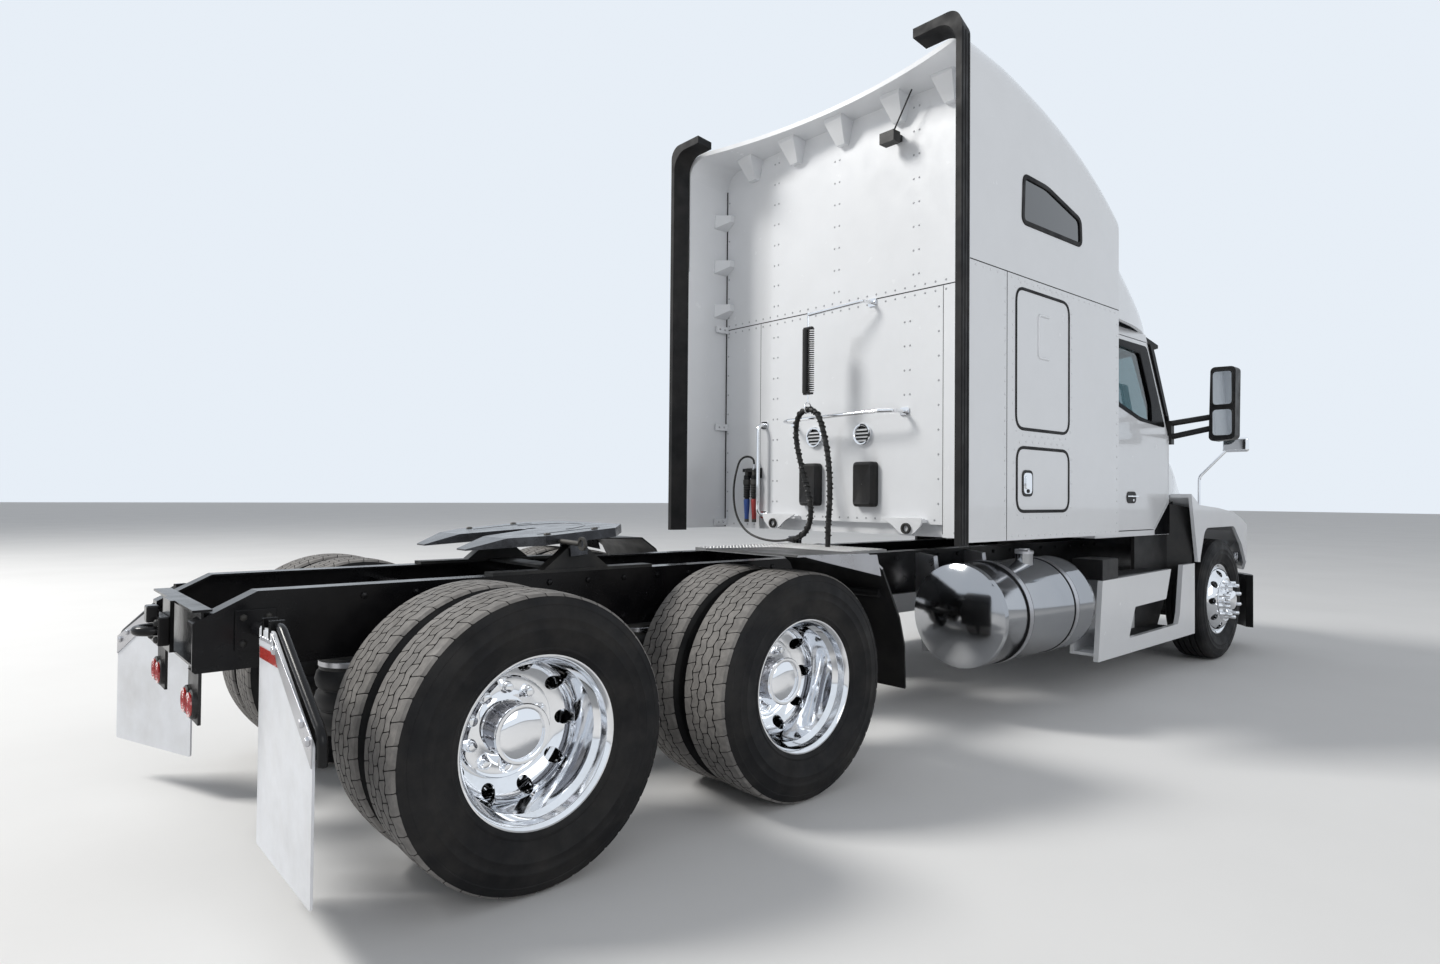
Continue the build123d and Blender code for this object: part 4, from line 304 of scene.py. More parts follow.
def strip(near, far, count, around=False, flipped=False):
    """Faces between two rows of count points, which start at near and far; around closes the rows."""
    faces = []
    for step in range(count if around else count - 1):
        after = (step + 1) % count
        face = [near + step, near + after, far + after, far + step]
        faces.append([face[corner] for corner in (0, 3, 2, 1)] if flipped else face)
    return faces


def grid(rows, count, around=False, looped=False, flipped=False):
    """Faces between rows of points; looped joins the last row to the first."""
    faces = []
    for row in range(rows if looped else rows - 1):
        faces += strip(row * count, (row + 1) % rows * count, count, around, flipped)
    return faces


def caps(rows, count):
    """The end faces of a tube of rows of points."""
    return [list(range(count))[::-1], list(range((rows - 1) * count, rows * count))]


def ring_shape(profile, segments, finish=None, closed=True, base=0):
    """A profile of (radius, y from base) in millimetres turned about the Y axis, in metres."""
    points = []
    for number in range(segments):
        angle = 2 * pi * number / segments
        points += [(r * MM * sin(angle), (base + y) * MM, r * MM * cos(angle)) for r, y in profile]
    return Shape(points, grid(segments, len(profile), closed, True, True), finish)


def circle_moves(radius, count, shift=0.0):
    """Moves to even places on a circle about the Y axis."""
    moves = []
    for number in range(count):
        angle = 2 * pi * (number + shift) / count
        moves.append(Matrix.Translation(Vector((radius * sin(angle), 0, radius * cos(angle))) * MM))
    return moves


# Tyres
RIBS = 5
PITCHES = 44
STATIONS = 10
TREAD_EDGE = 118
CROWN = 5
GROOVE_DEPTH = 13
FLOOR_R = TYRE_R - GROOVE_DEPTH
DRIVE_RIB_EDGES = (-118, -68, -24, 24, 68, 118)
STEER_RIB_EDGES = (-118, -72, -26, 26, 72, 118)
STEER_GROOVE_HALF = 4
STEER_SHOULDER = (486, 131)
BLOCK_SHIFT = 0.37
BLOCK_GAP = 1.6
BLOCK_SKEW = 0.28
BLOCK_CORNER = 3.5
DRIVE_TYRES = (
    # y, how far the tyre is turned on its axle
    (DUAL_OUTER_Y, 0.03), (DUAL_OUTER_Y - DUAL_SPACING, 0.08),
)


def crown_drop(y):
    return CROWN * (y / TREAD_EDGE) ** 2


def groove_line(number, along):
    """Where the groove between two rows of blocks runs, in millimetres from the tyre's middle."""
    swing = 0 if number in (0, RIBS) else 5
    return DRIVE_RIB_EDGES[number] + swing * sin(2 * pi * along + number * 1.9)


def groove_gap(number, station):
    """Half the groove's width, opened where the pattern has its holes."""
    if number in (0, RIBS):
        return 0
    wide = (2 + 3 * number) % STATIONS
    return 4.2 if station % STATIONS == wide else 1.4


def tread_point(along_mm, y, radius):
    angle = along_mm / TYRE_R
    r = (radius - crown_drop(y)) * MM
    return (r * sin(angle), y * MM, r * cos(angle))


def block_section(row, station, left, right):
    """Points of (y, radius) across a block, the outer rows reaching down the shoulders."""
    corner = BLOCK_CORNER if station in (0, STATIONS) else 0
    first = [(-132, TYRE_R - 30), (-128 + corner, TYRE_R - 8)] if row == 0 else [(left, FLOOR_R)]
    last = [(128 - corner, TYRE_R - 8), (132, TYRE_R - 30)] if row == RIBS - 1 else [(right, FLOOR_R)]
    top = [(left + 1 + corner, TYRE_R), ((left + right) / 2, TYRE_R), (right - 1 - corner, TYRE_R)]
    return first + top + last


def tread_block(row, block):
    """One block with wavy sides and a dusty top."""
    pitch = 2 * pi * TYRE_R / PITCHES
    start = (row * BLOCK_SHIFT) % 1.0
    points = []
    for station in range(STATIONS + 1):
        along = station / STATIONS
        left = groove_line(row, along + start) + groove_gap(row, station)
        right = groove_line(row + 1, along + start) - groove_gap(row + 1, station)
        end_gap = BLOCK_GAP * ((station == 0) - (station == STATIONS))
        base = (block + along + start) * pitch + end_gap
        section = block_section(row, station, left, right)
        points += [tread_point(base + BLOCK_SKEW * y, y, r) for y, r in section]
    count = len(section)
    shape = Shape(points, grid(STATIONS + 1, count) + caps(STATIONS + 1, count))
    strips = count - 1
    for number in range(STATIONS * strips):
        if number % strips not in (0, strips - 1):
            shape.finishes[number] = TREAD
    return shape


def carcass_profile():
    """One tyre's section from bead to bead: side walls with moulded rings, and the tread's floor."""
    half_section = [
        (BEAD_R, 100), (BEAD_R + 4, 113), (BEAD_R + 14, 121), (BEAD_R + 22, 124), (BEAD_R + 26, 128.5),
        (BEAD_R + 30, 129), (BEAD_R + 34, 128), (352, 139), (384, 144.2), (387, 146), (391, 146),
        (394, 144.8), (418, 145.6), (421, 147), (425, 147), (428, 145.2), (452, 141.5), (466, 137.5),
        (469, 138.5), (474, 137.5), (478, 134.5), (486, 131.5), (494, 127), (FLOOR_R - 4, 116),
        (FLOOR_R, 60),
    ]
    return half_section + [(r, -y) for r, y in reversed(half_section)]


def steer_rib(number):
    """A plain rib beside straight grooves, an outer one reaching down the shoulder."""
    shoulder_r, shoulder_y = STEER_SHOULDER
    left = STEER_RIB_EDGES[number] + (STEER_GROOVE_HALF if number else 0)
    right = STEER_RIB_EDGES[number + 1] - (STEER_GROOVE_HALF if number < RIBS - 1 else 0)
    left_r = TYRE_R - crown_drop(left)
    right_r = TYRE_R - crown_drop(right)
    profile = [
        (FLOOR_R, left) if number else (shoulder_r, -shoulder_y),
        (left_r - 1, left + 1), (left_r, left + 4), (right_r, right - 4), (right_r - 1, right - 1),
        (FLOOR_R, right) if number < RIBS - 1 else (shoulder_r, shoulder_y),
    ]
    return ring_shape(profile, 120, closed=False)


def wheel_move(x, y, side):
    """Sets a wheel's part on its axle, its outer face away from the chassis."""
    return Matrix.Translation(at(x, side * y, TYRE_R)) @ (FLIP if side < 0 else Matrix.Identity(4))


def add_tyres():
    carcass = ring_shape(carcass_profile(), 96)
    blocks = [tread_block(row, block) for row in range(RIBS) for block in range(PITCHES)]
    drive = Shape().join(carcass, *blocks)
    steer = Shape().join(carcass, *[steer_rib(number) for number in range(RIBS)])
    for side_name, side in SIDES:
        for axle, x in AXLE_X.items():
            pair = Shape()
            for y, angle in DRIVE_TYRES:
                pair.join(drive.moved(wheel_move(x, y, side) @ Matrix.Rotation(angle, 4, "Y")))
            node_name = axle + "_tyres_" + side_name
            body = axle + "_wheels_" + side_name
            pair.piece(node_name + "_look", body, "tyre_rubber", SIDEWALL, node_name, angle=28)
        single = steer.moved(wheel_move(WHEELBASE, STEER_WHEEL_Y, side))
        single.piece("steer_tyre_look_" + side_name, "steer_wheel_" + side_name, "tyre_rubber", SIDEWALL,
                     "steer_tyre_" + side_name, angle=28)


# Wheels
def rim_profile():
    """A rim's closed section, its disc toward +Y."""
    seat = BEAD_R - 0.3
    well = seat - WELL_DEPTH
    inside = seat - RIM_WALL
    well_inside = well - RIM_WALL
    half = RIM_HALF
    return [
        (RIM_FLANGE_R, -half), (RIM_FLANGE_R, 8 - half), (seat + 2, 10 - half), (seat, 16 - half),
        (seat - 4, -64), (well, -40), (well, 40), (seat - 4, 64), (seat, half - 16), (seat + 2, half - 10),
        (RIM_FLANGE_R, half - 8), (RIM_FLANGE_R, half), (RIM_FLANGE_R - 8, half), (inside + 1, half - 10),
        (inside, half - 14), (well_inside, half - 32), (well_inside, -46), (well_inside + 3, -50),
        (inside - 2, -64), (inside, -68), (inside, 16 - half), (inside + 2, 11 - half),
        (RIM_FLANGE_R - 8, -half),
    ]


def disc_profile():
    """The disc's closed section, dished from the rim's well to the flat mounting face."""
    edge = BEAD_R - WELL_DEPTH - 8
    far = DISC_OFFSET
    near = DISC_OFFSET - DISC_WALL
    return [
        (edge + 2, 60), (edge - 2, 84), (edge - 8, 104), (edge - 17, 118), (HAND_HOLE_CIRCLE_R, near - 16),
        (HAND_HOLE_CIRCLE_R - 22, near - 7), (HUB_COVER_R + 6, near), (108, near), (108, far),
        (HUB_COVER_R + 2, far), (HAND_HOLE_CIRCLE_R - 22, far - 7), (HAND_HOLE_CIRCLE_R, far - 16),
        (edge - 15, far - 30), (edge - 4, far - 42), (edge + 7, 108), (edge + 12, 90),
    ]


def drilled(shape):
    """A disc shape with its ring of hand holes cut through."""
    hole = ring_shape([(0.01, 60), (HAND_HOLE_R, 60), (HAND_HOLE_R, 220), (0.01, 220)], 32)
    moves = circle_moves(HAND_HOLE_CIRCLE_R, HAND_HOLES, 0.5)
    holes = Shape().join(*[hole.moved(move) for move in moves])
    disc = linked("disc blank", shape.mesh("disc blank"))
    cutter = linked("disc holes", holes.mesh("disc holes"))
    cut = disc.modifiers.new("holes", "BOOLEAN")
    cut.operation = "DIFFERENCE"
    cut.object = cutter
    cut.solver = "EXACT"
    bpy.context.view_layer.update()
    result = disc.evaluated_get(bpy.context.evaluated_depsgraph_get()).to_mesh()
    finished = Shape([vertex.co for vertex in result.vertices], [face.vertices for face in result.polygons])
    for made in (disc, cutter):
        data = made.data
        bpy.data.objects.remove(made)
        bpy.data.meshes.remove(data)
    return finished


def wheel_shape():
    return Shape().join(ring_shape(rim_profile(), 128), drilled(ring_shape(disc_profile(), 96)))


def on_studs(profile, base):
    """A chrome nut cover on every stud."""
    cover = ring_shape(profile, 20, CHROME, False, base)
    return Shape().join(*[cover.moved(move) for move in circle_moves(STUD_CIRCLE_R, HAND_HOLES)])


def drive_wheel_shape():
    """Two rims back to back, the hub's chrome cover and hat, and the brake drum; outward is +Y."""
    face = DUAL_OUTER_Y - DISC_OFFSET
    near = face + DISC_WALL
    cover = [
        (HUB_COVER_R, -4), (HUB_COVER_R, 4), (HUB_COVER_R - 5, 9), (HUB_COVER_R - 12, 6), (120, 6),
        (112, 10), (98, 12), (94, 16),
    ]
    barrel = [(94, 16), (93, 120), (101, 124), (106, 128)]
    cap = [
        (106, 128), (107, 134), (104, 138), (95, 139), (88, 136), (86, 137), (70, 142.5), (48, 146.5),
        (24, 148.8), (0.01, 149.5),
    ]
    nut = [(22.42, 6), (22.42, 9), (19, 11), (17.86, 30), (15.2, 34.2), (7.6, 36), (0.01, 36)]
    drum = [(205, -290), (205, -140), (190, -130), (120, -128), (120, -145), (186, -150), (190, -290)]
    hub = [(120, -145), (120, DISC_WALL), (52, DISC_WALL), (52, -145)]
    one = wheel_shape()
    return Shape().join(
        one.moved(Matrix.Translation((0, DUAL_OUTER_Y * MM, 0)) @ FLIP),
        one.moved(Matrix.Translation((0, (face - DISC_OFFSET) * MM, 0))),
        ring_shape(cover, 96, CHROME, False, near),
        ring_shape(barrel, 64, DARK_CHROME, False, near),
        ring_shape(cap, 64, CHROME, False, near),
        on_studs(nut, near),
        ring_shape(drum, 64, IRON, base=face),
        ring_shape(hub, 48, IRON, base=face),
    )


def steer_wheel_shape():
    """One wheel with its disc outward, long nut covers and a round cap; outward is +Y."""
    face = STEER_WHEEL_Y + DISC_OFFSET
    cover = [
        (HUB_COVER_R, -3), (HUB_COVER_R, 4), (HUB_COVER_R - 5, 8), (HUB_COVER_R - 12, 6), (100, 6), (90, 10),
        (80, 14), (79, 56), (76, 64), (66, 69), (40, 75), (0.01, 78),
    ]
    spike = [(25, 6), (24, 10), (19, 18), (15.5, 32), (15, 72), (13, 78), (6, 81), (0.01, 81)]
    hub = [(118, STEER_HUB_REAR_Y), (118, face), (52, face), (52, STEER_HUB_REAR_Y)]
    return Shape().join(
        wheel_shape().moved(Matrix.Translation((0, STEER_WHEEL_Y * MM, 0))),
        ring_shape(cover, 96, CHROME, False, face),
        on_studs(spike, face),
        ring_shape(hub, 48, IRON),
    )


def add_wheels():
    drive = drive_wheel_shape()
    wheels = [(axle + "_wheels_", drive, x) for axle, x in AXLE_X.items()]
    wheels.append(("steer_wheel_", steer_wheel_shape(), WHEELBASE))
    for side_name, side in SIDES:
        for kind, shape, x in wheels:
            body = kind + side_name
            placed = shape.moved(wheel_move(x, 0, side))
            placed.piece(body + "_look", body, "wheel_aluminium", POLISHED, body)


# Shapes laid on the body, written in the same millimetres as at()
def block(x0, x1, y0, y1, z0, z1, finish=None):
    """A box, its y limits in either order."""
    points = [at(x, y, z) for x in (x0, x1) for y in sorted((y0, y1)) for z in (z0, z1)]
    faces = [(0, 1, 3, 2), (4, 6, 7, 5), (0, 4, 5, 1), (2, 3, 7, 6), (0, 2, 6, 4), (1, 5, 7, 3)]
    return Shape(points, faces, finish)


def prism(outline, push, finish=None):
    """A flat outline pushed along a vector."""
    near = [at(*point) for point in outline]
    far = [point + Vector(push) * MM for point in near]
    count = len(outline)
    facing = Vector()
    for here, after in zip(near, near[1:]):
        facing += (here - near[0]).cross(after - near[0])
    faces = caps(2, count) + grid(2, count, True)
    if facing.dot(Vector(push)) < 0:
        faces = [face[::-1] for face in faces]
    return Shape(near + far, faces, finish)


def side_rect(y, x0, x1, z0, z1):
    return [(x0, y, z0), (x1, y, z0), (x1, y, z1), (x0, y, z1)]


def rear_rect(x, y0, y1, z0, z1):
    return [(x, y0, z0), (x, y1, z0), (x, y1, z1), (x, y0, z1)]


def rounded(corners, radius, steps=5, closed=True):
    """A path through corners that turns each one on a short curve."""
    path = []
    count = len(corners)
    for number, corner in enumerate(corners):
        here = Vector(corner)
        if not closed and number in (0, count - 1):
            path.append(here)
            continue
        back = Vector(corners[number - 1]) - here
        ahead = Vector(corners[(number + 1) % count]) - here
        reach = min(radius, back.length * 0.49, ahead.length * 0.49)
        start = here + back.normalized() * reach
        end = here + ahead.normalized() * reach
        for step in range(steps + 1):
            part = step / steps
            path.append(start * (1 - part) ** 2 + here * (2 * part * (1 - part)) + end * part ** 2)
    return path


def oval(x, z, half_x, half_z, y, corner=None):
    """A rounded outline in a side plane."""
    corners = side_rect(y, x - half_x, x + half_x, z - half_z, z + half_z)
    return rounded(corners, corner or min(half_x, half_z))


def spaced(path, pitch, closed=False):
    """Points at an even pitch along a path."""
    line = [Vector(place) for place in path]
    if closed:
        line.append(line[0])
    places = []
    travelled = 0
    due = pitch / 2
    for start, end in zip(line, line[1:]):
        run = (end - start).length
        while due <= travelled + run and run > 0:
            places.append(start.lerp(end, (due - travelled) / run))
            due += pitch
        travelled += run
    return places


def swept(path, section, normal=None, closed=False, finish=None):
    """A closed section of (side, up) points carried along a path, its up side toward normal."""
    line = [Vector(place) for place in path]
    count = len(line)
    points = []
    up = Vector(normal) if normal else None
    for number, here in enumerate(line):
        before = line[number - 1] if closed or number else here
        after = line[(number + 1) % count] if closed or number < count - 1 else here
        along = (after - before).normalized()
        if up is None:
            up = along.orthogonal()
        side = along.cross(up).normalized()
        level = side.cross(along)
        if not normal:
            up = level
        points += [at(*(here + side * s + level * u)) for s, u in section]
    faces = grid(count, len(section), True, closed)
    if not closed:
        faces += caps(count, len(section))
    return Shape(points, faces, finish)


def round_section(radius, count=12):
    return [(radius * cos(2 * pi * n / count), radius * sin(2 * pi * n / count)) for n in range(count)]


def strip_section(width, height):
    """A low strip with sloping edges, its foot just under the surface."""
    half = width / 2
    edge = min(height, half) * 0.5
    return [(-half, -1), (-half, height - edge), (edge - half, height), (half - edge, height),
            (half, height - edge), (half, -1)]


def turned(profile, place, axis, segments=32, finish=None, closed=False):
    """A profile of (radius, distance) turned about an axis through a place."""
    aim = Vector(LEFT).rotation_difference(Vector(axis)).to_matrix().to_4x4()
    return ring_shape(profile, segments, finish, closed).moved(Matrix.Translation(at(*place)) @ aim)


def domes(places, normal, radius, height, segments=8, finish=None):
    """Rivet or bolt heads at places on a surface."""
    profile = [(radius, -1), (radius, height * 0.3), (radius * 0.75, height * 0.8), (0.01, height)]
    return Shape().join(*[turned(profile, place, normal, segments, finish) for place in places])


def bolts(places, normal, radius, height, finish=None):
    return domes(places, normal, radius, height, 6, finish)


def node_shape(node_name, finish_of):
    """A CAD node's faces, each with the material that finish_of gives, left out where it gives None."""
    shape = Shape()
    mesh = bmesh.new()
    mesh.from_mesh(frame["nodes"][node_name].data)
    bmesh.ops.remove_doubles(mesh, verts=mesh.verts, dist=WELD_GAP)
    mesh.verts.index_update()
    shape.points = [vertex.co.copy() for vertex in mesh.verts]
    for face in mesh.faces:
        middle = face.calc_center_median()
        place = ((middle.x - BOGIE_X) / MM, middle.y / MM, middle.z / MM)
        finish = finish_of(place, face.normal)
        if finish is not None:
            shape.faces.append([vertex.index for vertex in face.verts])
            shape.finishes.append(finish)
    mesh.free()
    return shape


def surface_tree(node_names):
    """What rays are cast at to find the named CAD nodes' outer surface."""
    points = []
    faces = []
    for node_name in node_names:
        mesh = frame["nodes"][node_name].data
        start = len(points)
        points += [vertex.co.copy() for vertex in mesh.vertices]
        faces += [[start + corner for corner in polygon.vertices] for polygon in mesh.polygons]
    return BVHTree.FromPolygons(points, faces)


# Sleeper: doors, seams, rivets and windows
SLEEPER_SIDE_Y = 1225
SLEEPER_REAR_X = 2296
SEAM_Z = 2660
EXTENDER_REAR_X = 1905
DOORS = {
    # rear x, front x, bottom z, top z, corner radius of each opening
    "tall_door": (2387, 3056, 1752, 2598, 95),
    "low_door": (2397, 3054, 1267, 1662, 90),
}
SEAL_WIDTH = 18
SEAL_INSET = 10
RIVET_R = 7
RIVET_HEIGHT = 4
RIVET_PITCH = 76
DOOR_RIVET_GAP = 27
SIDE_RIVET_LINES = (
    # start x, z and end x, z
    (2320, 1136, 3750, 1136), (1930, 2636, 3750, 2636), (3745, 1150, 3745, 2620), (2275, 1150, 2275, 2620),
)
SIDE_SEAMS = ((SLEEPER_REAR_X, 1112, SLEEPER_REAR_X, 2657), (1908, SEAM_Z, 3772, SEAM_Z))
ROOF_WINDOW = [(2482, 3262), (2469, 2984), (3209, 2994), (3198, 3156), (2760, 3256)]
ROOF_WINDOW_Y = 1150


def riveted(path, pitch, out, closed=False):
    """A row of rivets along a path."""
    return domes(spaced(path, pitch, closed), out, RIVET_R, RIVET_HEIGHT)


def door_outline(door, y, grow, steps):
    """A baggage door's outline, grown all round."""
    x0, x1, z0, z1, corner = door
    return rounded(side_rect(y, x0 - grow, x1 + grow, z0 - grow, z1 + grow), corner + grow, steps)


def add_sleeper_doors():
    for side_name, side in SIDES:
        y = side * SLEEPER_SIDE_Y
        out = (0, side, 0)
        tall_door, low_door = (kind + "_" + side_name for kind in DOORS)
        for body, door in zip((tall_door, low_door), DOORS.values()):
            seal = swept(door_outline(door, y, -SEAL_INSET, 7), strip_section(SEAL_WIDTH, 4), out, True)
            seal.piece(body + "_seal", body, "strip_rubber", RUBBER)
        handle_line = [(2785, y, 2461), (2659, y, 2461), (2659, y, 2202), (2785, y, 2202)]
        handle = swept(rounded(handle_line, 26, closed=False), strip_section(17, 8), out)
        handle.piece("tall_door_handle_" + side_name, tall_door, "body_white", PAINT, bevel=0.0015)
        latch = Shape().join(
            prism(oval(2528, 1442, 62, 78, y, 40), (0, side * 5, 0)),
            prism(oval(2528, 1442, 48, 62, y + side * 5, 30), (0, side * 2, 0), CHROME),
            prism(oval(2528, 1448, 34, 40, y + side * 7, 16), (0, side * 7, 0), CHROME),
            turned([(11, 0), (11, 5), (7, 7), (0.01, 7)], (2528, y + side * 7, 1396), out, 20),
        )
        latch.piece("low_door_latch_" + side_name, low_door, "black_plastic", PLASTIC, bevel=0.0015)


def glass_finish(place, normal):
    return DARK_GLASS if abs(place[1]) > ROOF_WINDOW_Y else GLASS


def add_sleeper_sides():
    for side_name, side in SIDES:
        y = side * SLEEPER_SIDE_Y
        out = (0, side, 0)
        rivets = Shape()
        for door in DOORS.values():
            rivets.join(riveted(door_outline(door, y, DOOR_RIVET_GAP, 6), RIVET_PITCH, out, True))
        for x0, z0, x1, z1 in SIDE_RIVET_LINES:
            rivets.join(riveted([(x0, y, z0), (x1, y, z1)], RIVET_PITCH, out))
        rivets.piece("side_rivets_" + side_name, "root", "body_white", PAINT)
        seams = Shape()
        for x0, z0, x1, z1 in SIDE_SEAMS:
            seams.join(swept([(x0, y, z0), (x1, y, z1)], strip_section(6, 0.8), out))
        seams.piece("side_seams_" + side_name, "root", "strip_rubber", RUBBER)
        corners = [(x, y, z) for x, z in ROOF_WINDOW]
        rim = swept(rounded(corners, 45, 6), strip_section(30, 6), out, True)
        rim.piece("roof_window_rim_" + side_name, "root", "strip_rubber", RUBBER)
    windows = node_shape("cab_glass", glass_finish)
    windows.piece("cab_glass_look", "root", "window_glass", GLASS, "cab_glass")


# Sleeper: rear wall
WALL_X = SLEEPER_REAR_X
WALL_CORNER_Y = 1190
WALL_SEAMS = (
    # start y, z and end y, z, width, height
    (-WALL_CORNER_Y, SEAM_Z, WALL_CORNER_Y, SEAM_Z, 7, 1),
    (-WALL_CORNER_Y, 1115, -WALL_CORNER_Y, 3760, 14, 1.5),
    (WALL_CORNER_Y, 1115, WALL_CORNER_Y, 3760, 14, 1.5),
    (-800, 1130, -800, 2655, 4, 0.8),
    (800, 1130, 800, 2655, 4, 0.8),
)
RIVET_COLUMNS = (
    # y, lowest z, highest z, pitch
    (620, 1240, 2600, 152), (-555, 1930, 2600, 155), (-768, 1240, 2630, 152), (-1165, 1160, 3700, 152),
    (1165, 1160, 3700, 152), (35, 2690, 3850, 152), (-620, 2690, 3850, 152), (620, 2690, 3850, 152),
)
DOUBLE_COLUMN_REACH = 700
DOUBLE_COLUMN_GAP = 42
RIVET_ROWS = (
    # z, lowest y, highest y
    (2632, -1160, 1160), (2690, -1160, 1160), (1215, -780, 780), (1140, -1150, -820), (1140, 820, 1150),
)
BRACKET_LINE = ((370, 1228), (700, 1228), (690, 1180), (630, 1122), (540, 1122), (470, 1180))
HINGE_Z = (2657, 1891, 1151)
HINGE_Y = (1188, 1166)
LAMP_Y = (241, -184)
LAMP_Z = 1771
LAMP_R = 72
VENT_Y = (268, -220)
VENT_Z = 1438
VENT_HALF_Y = 90
VENT_HALF_Z = 149
VENT_RINGS = (
    # inset, corner radius, how far out from the wall
    (0, 30, 0), (0, 30, 38), (5, 27, 46), (20, 18, 62), (26, 14, 60), (200, 0, 60),
)
SPRING_X = WALL_X - 250
SPRING_Y = 62
SPRING_Z = (2050, 2478)
SPRING_R = 19
SPRING_TURNS = 30
SPRING_STEPS = 14
WALL_PLATES = ((-258, 2640), (-520, 1900), (440, 1885), (750, 1885), (750, 1215))
REBUILT_FITTINGS = (
    # middles' y, half width, how far out from the wall, heights of what is built anew
    (LAMP_Y, 90, (-50, 30), (1690, 1850)), (VENT_Y, 95, (-50, 68), (0, 1600)),
    ((SPRING_Y,), 23, (200, 500), SPRING_Z),
)
BLACK_FITTINGS = (
    # y, how far out from the wall, heights of the work lamp with its aerial, and of the spring's hanger
    ((-2000, 2000), (-50, 500), (3600, 4500)), ((40, 140), (200, 500), (2036, 2500)),
)


def add_wall_trim():
    """Seams, corner gaps, rivets and brackets on the rear wall."""
    seams = Shape()
    for y0, z0, y1, z1, width, height in WALL_SEAMS:
        seams.join(swept([(WALL_X, y0, z0), (WALL_X, y1, z1)], strip_section(width, height), BACKWARD))
    seams.piece("wall_seams", "root", "strip_rubber", RUBBER)
    rivets = Shape()
    for y, low, high, pitch in RIVET_COLUMNS:
        for column_y in (y, y + DOUBLE_COLUMN_GAP) if abs(y) < DOUBLE_COLUMN_REACH else (y,):
            rivets.join(riveted([(WALL_X, column_y, low), (WALL_X, column_y, high)], pitch, BACKWARD))
    for z, low, high in RIVET_ROWS:
        rivets.join(riveted([(WALL_X, low, z), (WALL_X, high, z)], RIVET_PITCH, BACKWARD))
    # The rear wall's rivets take the grey painted shade instead of the wall's white.
    rivets.piece("wall_rivets", "root", "body_white", RIVET_PAINTED_SHADE)
    brackets = Shape()
    eye = [(34, -16), (34, 20), (20, 20), (20, -16)]
    for side in SIGNS:
        outline = [(WALL_X - 70, side * y, z) for y, z in BRACKET_LINE]
        brackets.join(
            prism(rounded(outline, 20, 3), (14, 0, 0)),
            block(WALL_X - 62, WALL_X, side * 380, side * 690, 1196, 1216),
            turned(eye, (WALL_X - 66, side * 585, 1160), BACKWARD, 28, CHASSIS, True),
        )
        outer, inner = (side * y for y in HINGE_Y)
        for z in HINGE_Z:
            brackets.join(
                block(WALL_X - 120, WALL_X, outer, inner, z - 26, z + 26),
                bolts([(WALL_X - 90, inner, z), (WALL_X - 40, inner, z)], (0, -side, 0), 9, 7, STAINLESS),
            )
    brackets.piece("wall_brackets", "root", "body_white", PAINT, bevel=0.002)


def within(value, limits):
    return limits[0] < value < limits[1]


def wall_finish(place, normal):
    """Which finish a face of the wall's fittings takes; lamps, vents and the coil are built anew."""
    x, y, z = place
    out = WALL_X - x
    for middles, half_width, outs, heights in REBUILT_FITTINGS:
        beside = min(abs(y - middle) for middle in middles) < half_width
        if beside and within(out, outs) and within(z, heights):
            return None
    for widths, outs, heights in BLACK_FITTINGS:
        if within(y, widths) and within(out, outs) and within(z, heights):
            return PLASTIC
    return CHROME


def vent_cover(y):
    """A black cover with round corners and a sloping rim."""
    points = []
    for inset, radius, out in VENT_RINGS:
        half_y = max(VENT_HALF_Y - inset, 1)
        half_z = max(VENT_HALF_Z - inset, 1)
        corners = rear_rect(WALL_X - out, y - half_y, y + half_y, VENT_Z - half_z, VENT_Z + half_z)
        points += [at(*point) for point in rounded(corners, max(radius, 0.5), 6)]
    rings = len(VENT_RINGS)
    return Shape(points, grid(rings, len(points) // rings, True, flipped=True), PLASTIC)


def wall_lamp(y):
    """A round lamp: bezel, dark face and pale slats."""
    place = (WALL_X, y, LAMP_Z)
    inner = LAMP_R - 16
    bezel = [(LAMP_R, 0), (LAMP_R, 20), (LAMP_R - 4, 25), (LAMP_R - 12, 25), (inner, 20), (inner, 2)]
    lamp = Shape().join(
        turned(bezel, place, BACKWARD, 48, closed=True),
        turned([(inner + 1, 1), (0.01, 1)], place, BACKWARD, 48, PLASTIC),
    )
    for rise in (-36, -12, 12, 36):
        z = LAMP_Z + rise
        reach = sqrt(inner ** 2 - rise ** 2)
        slat = [(WALL_X - 2, y - reach, z - 6), (WALL_X - 20, y - reach, z - 12),
                (WALL_X - 20, y - reach, z - 3), (WALL_X - 2, y - reach, z + 3)]
        lamp.join(prism(slat, (0, 2 * reach, 0), PAINT))
    return lamp


def spring_coil():
    bottom, top = SPRING_Z
    count = SPRING_TURNS * SPRING_STEPS
    coil = []
    for step in range(count + 1):
        angle = 2 * pi * step / SPRING_STEPS
        z = bottom + (top - bottom) * step / count
        coil.append((SPRING_X + SPRING_R * cos(angle), SPRING_Y + SPRING_R * sin(angle), z))
    return swept(coil, round_section(4, 6), finish=PLASTIC)


def add_wall_fittings():
    shape = node_shape("wall_fittings", wall_finish)
    shape.join(spring_coil(), *[wall_lamp(y) for y in LAMP_Y], *[vent_cover(y) for y in VENT_Y])
    for y, z in WALL_PLATES:
        outline = rounded(rear_rect(WALL_X, y - 34, y + 34, z - 26, z + 26), 14, 4)
        shape.join(
            prism(outline, (-9, 0, 0)),
            bolts([(WALL_X - 9, y - 22, z), (WALL_X - 9, y + 22, z)], BACKWARD, 7, 6, STAINLESS),
        )
    shape.piece("wall_fittings_look", "root", "chrome_trim", CHROME, "wall_fittings")


